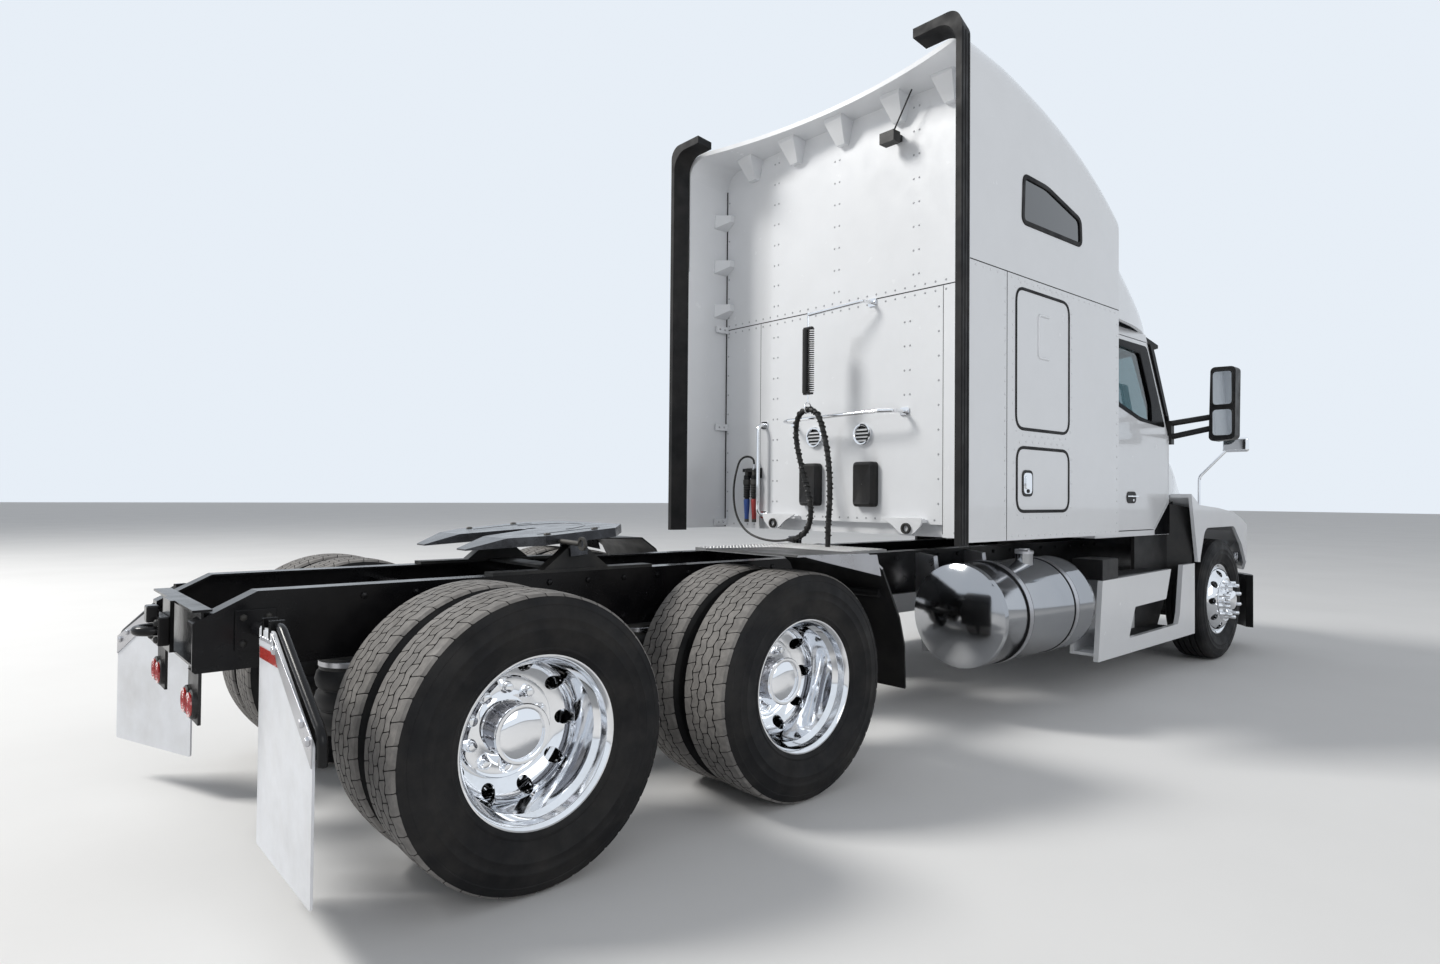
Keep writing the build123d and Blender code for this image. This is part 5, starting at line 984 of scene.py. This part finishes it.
def add_hose_plugs():
    """The holder with its two couplings: a metal head, and a ribbed boot in red or blue."""
    x = WALL_X - 45
    z = 1330
    shape = Shape().join(
        block(WALL_X - 12, WALL_X, 775, 935, 1490, 1566),
        block(WALL_X - 60, WALL_X - 12, 780, 930, 1536, 1561),
    )
    boot = [(17, 0), (19, 3), (19, 10)]
    for rib in range(14, 133, 17):
        boot += [(22, rib), (26, rib + 4), (26, rib + 10), (22, rib + 14)]
    boot += [(24, 150), (24, 178), (18, 182), (0.01, 182)]
    head = [(20, 68), (24, 74), (24, 108), (29, 112), (29, 144), (22, 150), (22, 178), (16, 182), (16, 232)]
    sleeve = [(12, -150), (17, -148), (17, -120), (21, -60), (24, -6), (20, 2)]
    tip = [(0.01, -172), (17, -172), (17, -150), (15, -148)]
    for y, finish in ((895, BLUE_BOOT), (815, RED_BOOT)):
        shape.join(
            turned(boot, (x, y, z), UP, 28),
            turned(sleeve, (x, y, z), UP, 24, finish),
            turned(tip, (x, y, z), UP, 20, IRON),
            turned(head, (x, y, z), UP, 28, IRON),
        )
    shape.piece("hose_plugs_look", "root", "black_plastic", PLASTIC, "hose_plugs", bevel=0.0015)


# Cab: window surround, handles and mirrors
CAB_SIDE_Y = 1060
BELT_Z = 1850
CAB_LEAN = 60 / 800
BAND_MISS = 45
FAR_OUT_Y = 2000
WINDOW_LINE = [(4174, 2531), (4184, 2070), (4558, 1979), (4796, 1954), (4806, 2102), (4655, 2506)]
SURROUND_LINE = [(4148, 2562), (4158, 2048), (4555, 1956), (5030, 1930), (4966, 2105), (4790, 2562)]
PILLAR_REAR_LINE = [(5082, 1868), (5030, 2030), (4838, 2520), (4812, 2592)]
PILLAR_FRONT_LINE = [(5160, 1868), (5128, 2030), (4950, 2520), (4915, 2592)]
CORNER_TOP_LINE = [(4812, 1108), (5098, 1328), (5172, 1340)]
CORNER_FOOT_LINE = [(4812, 1078), (5098, 1078), (5172, 1078)]
LINING_INSET = (0.035, 0.045)
LINING_PROUD = 3
LINING_DEPTH = 42
HANDLE_X = 4377
HANDLE_Z = 1368
MIRROR_REAR_X = 5150
MIRROR_EDGES_Y = (1362, 1506)
MIRROR_PANES = (
    # bottom z, top z, how proud the glass stands
    (2096, 2366, 4), (1856, 2066, 7),
)


def cab_side_y(z):
    """How far out the cab's side is at a height: upright to the belt, leaning in above it."""
    return CAB_SIDE_Y - CAB_LEAN * max(0, z - BELT_Z)


def laid_band(inner, outer, tree, side, lift=3, rows=3, closed=True):
    """A thin sheet between two outlines of (x, z), laid on a side of the cab."""
    levels = []
    for row in range(rows + 1):
        part = row / rows
        for (x0, z0), (x1, z1) in zip(inner, outer):
            x = x0 + (x1 - x0) * part
            z = z0 + (z1 - z0) * part
            met = tree.ray_cast(at(x, side * FAR_OUT_Y, z), Vector((0, -side, 0)))[0]
            reach = abs(met.y) / MM if met else 0
            expected = cab_side_y(z)
            levels.append((x, side * (reach if abs(reach - expected) < BAND_MISS else expected), z))
    count = len(inner)
    size = len(levels)
    top = grid(rows + 1, count, closed)
    under = [[size + corner for corner in face] for face in grid(rows + 1, count, closed, flipped=True)]
    edges = [face for start in (0, rows * count) for face in strip(start, size + start, count, closed, True)]
    points = [at(x, y + side * height, z) for height in (lift, -1) for x, y, z in levels]
    return Shape(points, top + under + edges)


def flat_path(line, radius):
    return [(point.x, point.z) for point in rounded([(x, 0, z) for x, z in line], radius)]


def window_lining(side):
    """Black lining round the inside of a window's opening, over the painted edge."""
    outline = flat_path(WINDOW_LINE, 30)
    middle_x = sum(x for x, z in outline) / len(outline)
    middle_z = sum(z for x, z in outline) / len(outline)
    points = []
    for x, z in outline:
        inner_x = x + (middle_x - x) * LINING_INSET[0]
        inner_z = z + (middle_z - z) * LINING_INSET[1]
        proud_y = side * (cab_side_y(z) + LINING_PROUD)
        points += [at(x, proud_y, z), at(inner_x, proud_y, inner_z),
                   at(inner_x, side * (cab_side_y(z) - LINING_DEPTH), inner_z)]
    return Shape(points, grid(len(outline), 3, looped=True))


def door_handle(side):
    y = side * CAB_SIDE_Y
    foot_y = y + side * 4
    grip_y = y + side * 34
    grip = [(-66, foot_y), (-50, grip_y), (50, grip_y), (66, foot_y)]
    grip_line = rounded([(HANDLE_X + x, place_y, HANDLE_Z + 8) for x, place_y in grip], 26, closed=False)
    keyhole = [(11, 4), (11, 9), (7, 11), (0.01, 11)]
    return Shape().join(
        prism(oval(HANDLE_X, HANDLE_Z, 82, 44, y), (0, side * 6, 0)),
        swept(grip_line, [(-11, -5), (11, -5), (11, 5), (-11, 5)], UP, finish=CHROME),
        turned(keyhole, (HANDLE_X + 30, y, HANDLE_Z - 22), (0, side, 0), 20, CHROME),
    )


def add_cab_details():
    for side_name, side in SIDES:
        body = "door_" + side_name
        tree = surface_tree([body, "cab_shell"])
        surround = laid_band(flat_path(WINDOW_LINE, 30), flat_path(SURROUND_LINE, 40), tree, side)
        pillar = laid_band(PILLAR_REAR_LINE, PILLAR_FRONT_LINE, tree, side, 3, 4, False)
        corner = laid_band(CORNER_FOOT_LINE, CORNER_TOP_LINE, tree, side, 2, 5, False)
        pieces = (
            ("window_surround_", body, surround), ("window_lining_", body, window_lining(side)),
            ("pillar_trim_", "root", pillar), ("entry_corner_", "root", corner),
        )
        for kind, carrier, shape in pieces:
            shape.piece(kind + side_name, carrier, "black_plastic", GLOSS_BLACK)
        door_handle(side).piece("door_handle_" + side_name, body, "black_plastic", PLASTIC, bevel=0.002)


def mirror_finish(place, normal):
    return PAINT if normal.x > 0.6 and abs(place[1]) > 1335 else PLASTIC


def add_mirrors():
    """Heads with a pale shell in front and two mirror panes facing back."""
    shape = node_shape("mirrors", mirror_finish)
    for side in SIGNS:
        for low, high, proud in MIRROR_PANES:
            corners = rear_rect(MIRROR_REAR_X, side * MIRROR_EDGES_Y[0], side * MIRROR_EDGES_Y[1], low, high)
            outline = rounded(corners, 34, 6)
            shape.join(swept(outline, strip_section(12, 9), BACKWARD, True))
            shape.join(prism(outline, (-proud, 0, 0), MIRROR))
    shape.piece("mirrors_look", "root", "black_plastic", PLASTIC, "mirrors")


# Rear end: lamps, flaps, hangers, bellows, bolts and deck
RAIL_OUTER_Y = 432
RAIL_TOP = 1003
RAIL_BOLTS_X = [*range(-1000, 1500, 200), *range(1620, 5200, 236)]
RAIL_BOLTS_Z = (775, 962)
TAIL_LAMP_X = -1540
TAIL_LAMP_Y = (290, 385)
TAIL_LAMP_Z = 625
FLAP_X = -1385
FLAP_INNER_Y = 600
FLAP_OUTER_Y = 1210
FLAP_WALL = 8
FLAP_TOP_Z = 905
FLAP_BOTTOM_Z = 180
FLAP_SHOULDER_Y = 770
FLAP_CORNER_Z = 640
LEFT_FLAP_SWING = 20
AIR_SPRING_BACK = 355
AIR_SPRING_Y = 387.5
DECK_REAR_X = 1360
DECK_FRONT_X = 2230
DECK_TOP_Z = 1025
DECK_PLANKS = 5
TOOTH_ROWS = 4
TOOTH_PITCH = 32.5


def about(place, angle, axis):
    """A turn by an angle in degrees about an axis through a place."""
    return Matrix.Translation(place) @ Matrix.Rotation(radians(angle), 4, axis) @ Matrix.Translation(-place)


def lamp_finish(place, normal):
    return RED_LENS if place[0] < TAIL_LAMP_X - 1 else PLASTIC


def add_tail_lamps():
    shape = node_shape("tail_lamps", lamp_finish)
    ring = [(50, -1), (50, 12), (46, 16), (42, 16), (41, 8)]
    for side in SIGNS:
        for y in TAIL_LAMP_Y:
            place = (TAIL_LAMP_X, side * y, TAIL_LAMP_Z)
            shape.join(turned(ring, place, BACKWARD, 40))
            for radius in (12, 22, 32):
                rib = [(radius - 2, 21.5), (radius, 24), (radius + 2, 21.5)]
                shape.join(turned(rib, place, BACKWARD, 32, RED_LENS))
    shape.piece("tail_lamps_look", "root", "lamp_red", PLASTIC, "tail_lamps")


def flap_shape():
    """One flap on the left, with its marked band, reflector, corner plate and clamps, hanging straight."""
    rear = FLAP_X - FLAP_WALL
    outline = [
        (FLAP_X, FLAP_INNER_Y, FLAP_TOP_Z), (FLAP_X, FLAP_SHOULDER_Y, FLAP_TOP_Z),
        (FLAP_X, FLAP_OUTER_Y, FLAP_CORNER_Z), (FLAP_X, FLAP_OUTER_Y, FLAP_BOTTOM_Z),
        (FLAP_X, FLAP_INNER_Y, FLAP_BOTTOM_Z),
    ]
    dots = [(rear - 3, y, 870) for y in range(FLAP_INNER_Y + 30, FLAP_SHOULDER_Y, 32)]
    plate = [
        (rear, FLAP_SHOULDER_Y - 10, FLAP_TOP_Z - 4), (rear, FLAP_OUTER_Y, FLAP_CORNER_Z + 22),
        (rear, FLAP_OUTER_Y, FLAP_CORNER_Z - 62), (rear, FLAP_SHOULDER_Y + 60, FLAP_TOP_Z - 92),
    ]
    clamps = [
        (rear - 4, FLAP_SHOULDER_Y + 40, 852), (rear - 4, FLAP_OUTER_Y - 90, 688),
        (rear - 4, FLAP_OUTER_Y - 30, 648),
    ]
    return Shape().join(
        prism(rounded(outline, 12, 3), (-FLAP_WALL, 0, 0)),
        block(rear - 3, rear, FLAP_INNER_Y + 6, FLAP_SHOULDER_Y + 20, 842, 898),
        domes(dots, BACKWARD, 8, 5, 10, STAINLESS),
        block(rear - 2, rear, FLAP_INNER_Y + 10, FLAP_SHOULDER_Y + 70, 800, 838, REFLECTOR),
        prism(plate, (-4, 0, 0), STAINLESS),
        bolts(clamps, BACKWARD, 15, 12, STAINLESS),
    )


def hanger_bar():
    """The tube that runs out behind a flap's top and bends down along its cut edge."""
    x = FLAP_X + 16
    route = [
        (x, FLAP_INNER_Y - 20, 876), (x, FLAP_INNER_Y + 20, 916), (x, FLAP_SHOULDER_Y + 6, 916),
        (x, FLAP_OUTER_Y + 4, FLAP_CORNER_Z + 30), (x, FLAP_OUTER_Y + 10, FLAP_CORNER_Z - 60),
    ]
    clips = [block(FLAP_X - 12, FLAP_X + 34, y - 11, y + 11, 872, 936) for y in (650, 735)]
    return Shape().join(swept(rounded(route, 30, 6, False), round_section(15)), *clips)


def add_flaps():
    swing = about(at(FLAP_X, FLAP_INNER_Y, 0), LEFT_FLAP_SWING, "Z")
    flap = flap_shape()
    flaps = Shape().join(flap.moved(FLIP), flap.moved(swing))
    flaps.piece("mud_flaps_look", "root", "flap_white", FLAP, "mud_flaps", bevel=0.001)
    bracket_y = RAIL_OUTER_Y + 14
    heads = [(FLAP_X + x, bracket_y, z) for x in (-25, 55) for z in (825, 915)]
    fixed = Shape().join(
        turned([(24, 0), (24, 176)], (FLAP_X + 14, RAIL_OUTER_Y, 876), LEFT, 24),
        block(FLAP_X - 50, FLAP_X + 80, RAIL_OUTER_Y, bracket_y, 800, 940),
        bolts(heads, LEFT, 13, 11, CHASSIS),
    )
    bar = hanger_bar()
    hangers = Shape().join(fixed.moved(FLIP), bar.moved(FLIP), fixed, bar.moved(swing))
    hangers.piece("flap_hangers_look", "root", "axle_black", FRAME_PAINT, "flap_hangers", bevel=0.0015)


def add_chassis_details():
    """Bolts on the rails, folds on the air springs, and the tow ring's block and latch."""
    heads = Shape()
    for side in SIGNS:
        places = [(x, side * RAIL_OUTER_Y, z) for x in RAIL_BOLTS_X for z in RAIL_BOLTS_Z]
        heads.join(bolts(places, (0, side, 0), 15, 12))
    heads.piece("rail_bolts", "root", "axle_black", FRAME_PAINT)
    folds = Shape()
    profile = [
        (118, 456), (136, 486), (140, 504), (134, 528), (124, 540), (134, 552), (141, 578), (134, 604),
        (124, 616), (134, 628), (140, 654), (134, 680), (116, 700),
    ]
    plate = [(112, 700), (128, 704), (128, 722), (112, 733)]
    for axle_x in AXLE_X.values():
        for side in SIGNS:
            place = (axle_x - AIR_SPRING_BACK, side * AIR_SPRING_Y, 0)
            folds.join(turned(profile, place, UP, 48), turned(plate, place, UP, 48, STAINLESS))
    folds.piece("air_spring_folds", "root", "strip_rubber", RUBBER)
    hook = Shape().join(
        block(-1612, -1574, -92, 92, 786, 892),
        block(-1640, -1600, -30, 30, 868, 930),
        bolts([(-1612, y, z) for y in (-66, 66) for z in (808, 870)], BACKWARD, 15, 12, CHASSIS),
    )
    hook.piece("tow_hook", "root", "axle_black", FRAME_PAINT, bevel=0.006)


def add_deck():
    """Planks of grip plate: rows of raised teeth, each closed over a dark disc that is painted shade
    standing in for its hole.
    """
    shape = Shape()
    plank = (DECK_FRONT_X - DECK_REAR_X) / DECK_PLANKS
    tooth = [(13, -5), (11, -0.5), (8.5, 0), (8, -3), (0.01, -3)]
    # Painted shade: each tooth's hole is a dark disc, not an opening.
    slot = [(8, -2.6), (0.01, -2.6)]
    for number in range(DECK_PLANKS):
        x0 = DECK_REAR_X + number * plank + 2
        shape.join(block(x0, x0 + plank - 4, -RAIL_OUTER_Y, RAIL_OUTER_Y, RAIL_TOP, DECK_TOP_Z - 4))
        for row in range(TOOTH_ROWS):
            x = x0 + plank * (row + 0.5) / TOOTH_ROWS
            y = -RAIL_OUTER_Y + 18 + (16 if row % 2 else 0)
            while y <= RAIL_OUTER_Y - 16:
                place = (x, y, DECK_TOP_Z)
                shape.join(turned(tooth, place, UP, 10), turned(slot, place, UP, 10, CHASSIS))
                y += TOOTH_PITCH
    shape.piece("deck_plates_look", "root", "deck_aluminium", DECK, "deck_plates")


def fender_finish(place, normal):
    return STAINLESS if abs(place[1]) > 1214 and place[2] > 940 else PLASTIC


def add_fender_finish():
    shape = node_shape("rear_fenders", fender_finish)
    shape.piece("rear_fenders_look", "root", "black_plastic", PLASTIC, "rear_fenders")


# Steps, nose lamps, tanks and edges
TREADS = (
    # rear x, front x, z
    (3998, 4880, 366), (3886, 4756, 814),
)
TREAD_RIBS = 11
TREAD_RIB_Y = 1019
TREAD_RIB_PITCH = 14
HOOD_NOSE_X = 7005
NOSE_SKIN = (
    # y, how far the hood's skin lies behind the tip of its nose
    (436, 15), (500, 16), (540, 24), (560, 54), (580, 91), (600, 137), (620, 187), (640, 248), (660, 312),
    (700, 465),
)
NOSE_LAMP_Z = (884, 925, 1010, 1066)
NOSE_LAMP_SINK = 14
PROJECTORS = (
    # y, how far behind the tip, height, outward slope (x, y), radius
    (484, 22, 976, (1.0, 0.0), 38), (590, 118, 972, (0.39, 0.92), 34),
)
TANK_Y = 925
TANK_Z = 650
TANK_R = 311
TANK_REAR_X = 2270
TANK_FRONT_X = 3400
TANK_DOME = 62
DOME_STEPS = 12
STRAP_X = (2560, 3140)
FILLER_X = 2900
FILLER_Y = TANK_Y + 80
FILLER_NECK = 42
EDGE_RIDGES_X = (1795, 1838, 1881)
EXTENDER_FLARE = 28 / 129
PLATE_PIVOT = (-50, 0, 1105)
PLATE_REST_TILT = 4.6
PLATE_TOP_Z = 1184


def add_steps():
    """Rubber ribs on the treads, and the white fairings with their edges softened."""
    for side_name, side in SIDES:
        ribs = Shape()
        for x0, x1, z in TREADS:
            for number in range(TREAD_RIBS):
                y = side * (TREAD_RIB_Y + number * TREAD_RIB_PITCH)
                ribs.join(block(x0, x1, y - 3.2, y + 3.2, z - 1, z + 3.5))
        ribs.piece("step_ribs_" + side_name, "root", "strip_rubber", RUBBER)
    shape = node_shape("side_steps", lambda place, normal: PAINT)
    shape.piece("side_steps_look", "root", "body_white", PAINT, "side_steps", bevel=0.007)


def add_nose_lamps():
    """A black lamp unit in each opening beside the grille, with two bright projectors."""
    unit = Shape()
    for side in SIGNS:
        points = []
        for y, back in NOSE_SKIN:
            points += [at(HOOD_NOSE_X - back - NOSE_LAMP_SINK, side * y, z) for z in NOSE_LAMP_Z]
        unit.join(Shape(points, grid(len(NOSE_SKIN), len(NOSE_LAMP_Z))))
        for y, back, z, (slope_x, slope_y), radius in PROJECTORS:
            place = (HOOD_NOSE_X - back - NOSE_LAMP_SINK, side * y, z)
            out = (slope_x, side * slope_y, 0)
            barrel = [(radius + 5, -8), (radius + 4, 3), (radius + 1, 6), (radius - 2, 3), (radius - 4, -6)]
            lens = [(radius - 3, -4), (radius * 0.8, 2), (radius * 0.45, 6), (0.01, 8)]
            unit.join(turned(barrel, place, out, 36, CHROME), turned(lens, place, out, 36, LAMP_GLASS))
    unit.piece("nose_lamps", "hood", "lamp_clear", GLOSS_BLACK)


def tank_profile():
    """A tank's section from one domed end to the other, with the weld's low ring at each end."""
    ball_r = (TANK_R ** 2 + TANK_DOME ** 2) / (2 * TANK_DOME)
    end = []
    for step in range(DOME_STEPS):
        radius = max(TANK_R * step / DOME_STEPS, 0.01)
        end.append((radius, -(sqrt(ball_r ** 2 - radius ** 2) - ball_r + TANK_DOME)))
    end += [(TANK_R - 3, 1), (TANK_R, 7), (TANK_R, 26), (TANK_R + 2, 30), (TANK_R + 2, 36), (TANK_R, 40)]
    rear = [(radius, TANK_REAR_X + distance) for radius, distance in end]
    front = [(radius, TANK_FRONT_X - distance) for radius, distance in end]
    return rear + front[::-1]


def add_tanks():
    neck = [(55, -60), (55, 40), (52, FILLER_NECK)]
    tanks = Shape()
    for side in SIGNS:
        tanks.join(
            turned(tank_profile(), (0, side * TANK_Y, TANK_Z), FORWARD, 160),
            turned(neck, (FILLER_X, side * FILLER_Y, TANK_Z + TANK_R), UP, 40),
        )
    # The tanks wear the aluminium darkened as a painted reflection of shaded ground.
    tanks.piece("fuel_tanks_look", "root", "tank_aluminium", TANK_PAINTED_REFLECTION, "fuel_tanks")


def add_tank_details():
    """Filler caps, and the rubber edges between straps and tanks."""
    shape = Shape()
    cap = [(58, -2), (58, 14), (50, 20), (34, 22), (33, 30), (0.01, 30)]
    lug = [(12, -6), (12, 8), (8, 11), (0.01, 11)]
    ring = [(TANK_R - 1, -3), (TANK_R + 4, -3), (TANK_R + 4, 3), (TANK_R - 1, 3)]
    for side in SIGNS:
        x, y, z = (FILLER_X, side * FILLER_Y, TANK_Z + TANK_R + FILLER_NECK)
        shape.join(turned(cap, (x, y, z), UP, 40))
        for angle in (0, 2 * pi / 3, 4 * pi / 3):
            shape.join(turned(lug, (x + 46 * cos(angle), y + 46 * sin(angle), z + 16), UP, 16))
        for strap_x in STRAP_X:
            for edge in (-27, 27):
                place = (strap_x + edge, side * TANK_Y, TANK_Z)
                shape.join(turned(ring, place, FORWARD, 96, RUBBER, True))
    shape.piece("tank_caps", "root", "strap_steel", STAINLESS)


def add_edge_ridges():
    """Ridges down the rubber strips on the side panels' rear edges."""
    ridges = Shape()
    for side in SIGNS:
        for x in EDGE_RIDGES_X:
            y = side * (SLEEPER_SIDE_Y + EXTENDER_FLARE * (EXTENDER_REAR_X - x))
            ridges.join(swept([(x, y, 1100), (x, y, 3880)], round_section(4, 8)))
    ridges.piece("edge_ridges", "root", "strip_rubber", RUBBER)


def add_fifth_wheel_details():
    """Grease grooves, bolt heads and the release bar on the coupling plate, tilted with it."""
    top = PLATE_TOP_Z
    arc = [(-40 + 250 * cos(angle), 250 * sin(angle), top) for angle in map(radians, range(-80, 81, 10))]
    shape = Shape().join(
        swept(arc, strip_section(13, 1.8), UP, finish=GREASE),
        bolts([(x, y, top) for x in (-190, 60) for y in (-400, 400)], UP, 16, 9),
        swept([(-160, -440, top - 30), (-160, -620, top - 34)], round_section(11)),
        turned([(30, -6), (30, 6), (18, 6), (18, -6)], (-160, -640, top - 34), FORWARD, 28, closed=True),
    )
    for y in (-330, 330):
        shape.join(swept([(-200, y, top), (130, y, top)], strip_section(14, 1.6), UP, finish=GREASE))
    tilt = about(at(*PLATE_PIVOT), -PLATE_REST_TILT, "Y")
    shape.moved(tilt).piece("coupling_details", "fifth_wheel", "greased_iron", IRON, bevel=0.0015)


# Hoses
BUNDLE_ROUTE = [
    (2052, -92, 1025), (2052, -92, 1160), (2052, -108, 1320), (2050, -107, 1480), (2046, -92, 1640),
    (2045, -58, 1770), (2045, -29, 1853), (2046, 2, 1906), (2046, 55, 1937), (2047, 117, 1937),
    (2050, 170, 1906), (2058, 203, 1853), (2074, 222, 1760), (2090, 210, 1640), (2100, 168, 1490),
    (2100, 118, 1360), (2100, 98, 1240), (2100, 122, 1140), (2100, 196, 1072), (2100, 292, 1056),
]
AIR_HOSE_ROUTE = [
    (2100, 292, 1056), (2100, 370, 1043), (2100, 470, 1037), (2100, 590, 1048), (2100, 705, 1078),
    (2104, 800, 1138), (2112, 868, 1225), (2124, 906, 1335), (2142, 922, 1450), (2170, 924, 1550),
    (2190, 917, 1614), (2204, 903, 1638), (2218, 879, 1652), (2232, 851, 1652), (2244, 827, 1638),
    (2250, 815, 1614), (2250, 815, 1561),
]
BUNDLE_R = 17
AIR_HOSE_R = 8
WRAP_PITCH = 34
WRAP_STEPS = 12
WRAP_BARE_STEPS = (20, 24)
WRAP_SECTION = [(-8, -1.5), (-6, 2.5), (6, 2.5), (8, -1.5)]


def route_curve(name, places):
    """A smooth curve whose control points are the places."""
    curve = bpy.data.curves.new(name, "CURVE")
    curve.dimensions = "3D"
    curve.resolution_u = 12
    spline = curve.splines.new("NURBS")
    spline.points.add(len(places) - 1)
    for point, place in zip(spline.points, places):
        point.co = (*place, 1)
    spline.order_u = 3
    spline.use_endpoint_u = True
    return curve


def hose(name, route, radius, replaced):
    """A hose as a round curve along its route."""
    curve = route_curve(name, [at(*place) for place in route])
    curve.bevel_depth = radius * MM
    curve.bevel_resolution = 5
    curve.use_fill_caps = True
    curve.materials.append(HOSE)
    made = linked(name, curve)
    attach(made, "root")
    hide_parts(replaced)
    return made


def route_line(route):
    """Points along a route's smooth curve, in millimetres."""
    curve = route_curve("route", route)
    probe = bpy.data.objects.new("route", curve)
    mesh = bpy.data.meshes.new_from_object(probe)
    line = [vertex.co.copy() for vertex in mesh.vertices]
    bpy.data.objects.remove(probe)
    bpy.data.curves.remove(curve)
    bpy.data.meshes.remove(mesh)
    return line


def add_spiral_wrap():
    """The spiral sleeve wound round the bundle."""
    first, last = WRAP_BARE_STEPS
    line = spaced(route_line(BUNDLE_ROUTE), WRAP_PITCH / WRAP_STEPS)[first:-last]
    up = (line[1] - line[0]).orthogonal()
    coil = []
    for number, (here, after) in enumerate(zip(line, line[1:])):
        along = (after - here).normalized()
        side = along.cross(up).normalized()
        up = side.cross(along)
        angle = 2 * pi * number / WRAP_STEPS
        coil.append(here + (side * cos(angle) + up * sin(angle)) * (BUNDLE_R + 0.5))
    return swept(coil, WRAP_SECTION).piece("bundle_wrap", "root", "hose_rubber", HOSE, angle=60)


def add_reducer():
    """The sleeve at the bundle's end, from which the thin hose goes on."""
    profile = [(0.01, -46), (19, -46), (20.5, -44), (20.5, -6), (16, 2), (12, 16), (11, 30), (8.2, 32)]
    sleeve = turned(profile, BUNDLE_ROUTE[-1], (0, 1, -0.12), 28)
    return sleeve.piece("bundle_sleeve", "root", "hose_rubber", PLASTIC)


def add_hose_nut():
    """The nut that holds the thin hose in its coupling."""
    profile = [(8.3, 34), (11, 32), (12, 12), (17, 10), (17, -8), (0.01, -8)]
    nut = turned(profile, AIR_HOSE_ROUTE[-1], UP, 12)
    return nut.piece("air_hose_nut", "root", "strap_steel", STAINLESS)


def add_hoses():
    bundle = hose("hose_bundle_look", BUNDLE_ROUTE, BUNDLE_R, "hose_bundle")
    add_reducer()
    add_spiral_wrap()
    air_hose = hose("air_hose_look", AIR_HOSE_ROUTE, AIR_HOSE_R, "air_hose")
    add_hose_nut()


# Camera, floor and light
CAMERA_PLACE = (-2097.3, -3722.6, 1351.1)
CAMERA_HEADING = 0.8477
CAMERA_LIFT = 0.017
CAMERA_TILT = 0.0084
CAMERA_LENS = 20.874
SENSOR_WIDTH = 36
CAMERA_REACH = 400
FLOOR_REACH = 120
FLOOR_SINK = 0.0005


def add_camera():
    """The photograph's view: place, heading, lift and tilt come from the photograph."""
    heading = CAMERA_HEADING
    lift = CAMERA_LIFT
    tilt = CAMERA_TILT
    forward = Vector((cos(heading) * cos(lift), sin(heading) * cos(lift), sin(lift)))
    level = Vector((sin(heading), -cos(heading), 0))
    upright = level.cross(forward)
    right = level * cos(tilt) + upright * sin(tilt)
    up = upright * cos(tilt) - level * sin(tilt)
    data = bpy.data.cameras.new("camera")
    data.lens = CAMERA_LENS
    data.sensor_width = SENSOR_WIDTH
    data.clip_end = CAMERA_REACH
    camera = linked("camera", data)
    turn = Matrix((right, up, -forward)).transposed().to_4x4()
    camera.matrix_world = Matrix.Translation(at(*CAMERA_PLACE)) @ turn
    bpy.context.scene.camera = camera


def add_floor():
    corners = [(x, y, 0) for x, y in ((-1, -1), (1, -1), (1, 1), (-1, 1))]
    square = Shape([Vector(corner) * FLOOR_REACH for corner in corners], [(0, 1, 2, 3)])
    floor = linked("floor", square.mesh("floor"))
    floor.location.z = -FLOOR_SINK
    material, tree, shader = blank_material("pale floor", Roughness=0.85)
    tone = ramp(tree, noise(tree, 0.6, 6.0), [(0.3, grey(0.78)), (0.7, grey(0.82))])
    tree.links.new(tone, shader.inputs["Base Color"])
    floor.data.materials.append(material)


def add_lamp(name, place, target, size, power, colour=(1, 1, 1)):
    data = bpy.data.lights.new(name, "AREA")
    data.shape = "RECTANGLE"
    data.size, data.size_y = size
    data.energy = power
    data.color = colour
    lamp = linked(name, data)
    lamp.location = place
    direction = Vector(target) - Vector(place)
    lamp.rotation_euler = direction.to_track_quat("-Z", "Y").to_euler()


def add_world():
    """A pale surround: full strength to the camera, mirrors and glass, softer as light on the object."""
    world = bpy.data.worlds.new("surround")
    bpy.context.scene.world = world
    world.use_nodes = True
    tree = world.node_tree
    tree.nodes.clear()
    shown = node(tree, "ShaderNodeBackground", Color=(0.80, 0.86, 0.93, 1), Strength=1.0).outputs[0]
    lighting = node(tree, "ShaderNodeBackground", Color=(0.93, 0.96, 1.0, 1), Strength=0.42).outputs[0]
    path = node(tree, "ShaderNodeLightPath").outputs
    seen = path["Is Camera Ray"]
    for kind in ("Is Glossy Ray", "Is Transmission Ray"):
        seen = node(tree, "ShaderNodeMath", seen, path[kind], operation="MAXIMUM").outputs[0]
    mixed = node(tree, "ShaderNodeMixShader", seen, lighting, shown).outputs[0]
    node(tree, "ShaderNodeOutputWorld", mixed)


add_tyres()
add_wheels()
add_sleeper_doors()
add_sleeper_sides()
add_wall_trim()
add_wall_fittings()
add_hose_plugs()
add_cab_details()
add_mirrors()
add_tail_lamps()
add_flaps()
add_chassis_details()
add_deck()
add_fender_finish()
add_steps()
add_tanks()
add_tank_details()
add_nose_lamps()
add_edge_ridges()
add_fifth_wheel_details()
add_hoses()
add_camera()
add_floor()
add_lamp("key from behind left", (-15, 12, 17), (-1, 0, 1.6), (6, 6), 4600, (1, 0.98, 0.94))
add_lamp("fill from the right", (-4, -18, 8), (0, 0, 1.5), (12, 8), 550)
add_world()
bpy.context.scene.view_settings.view_transform = "Standard"
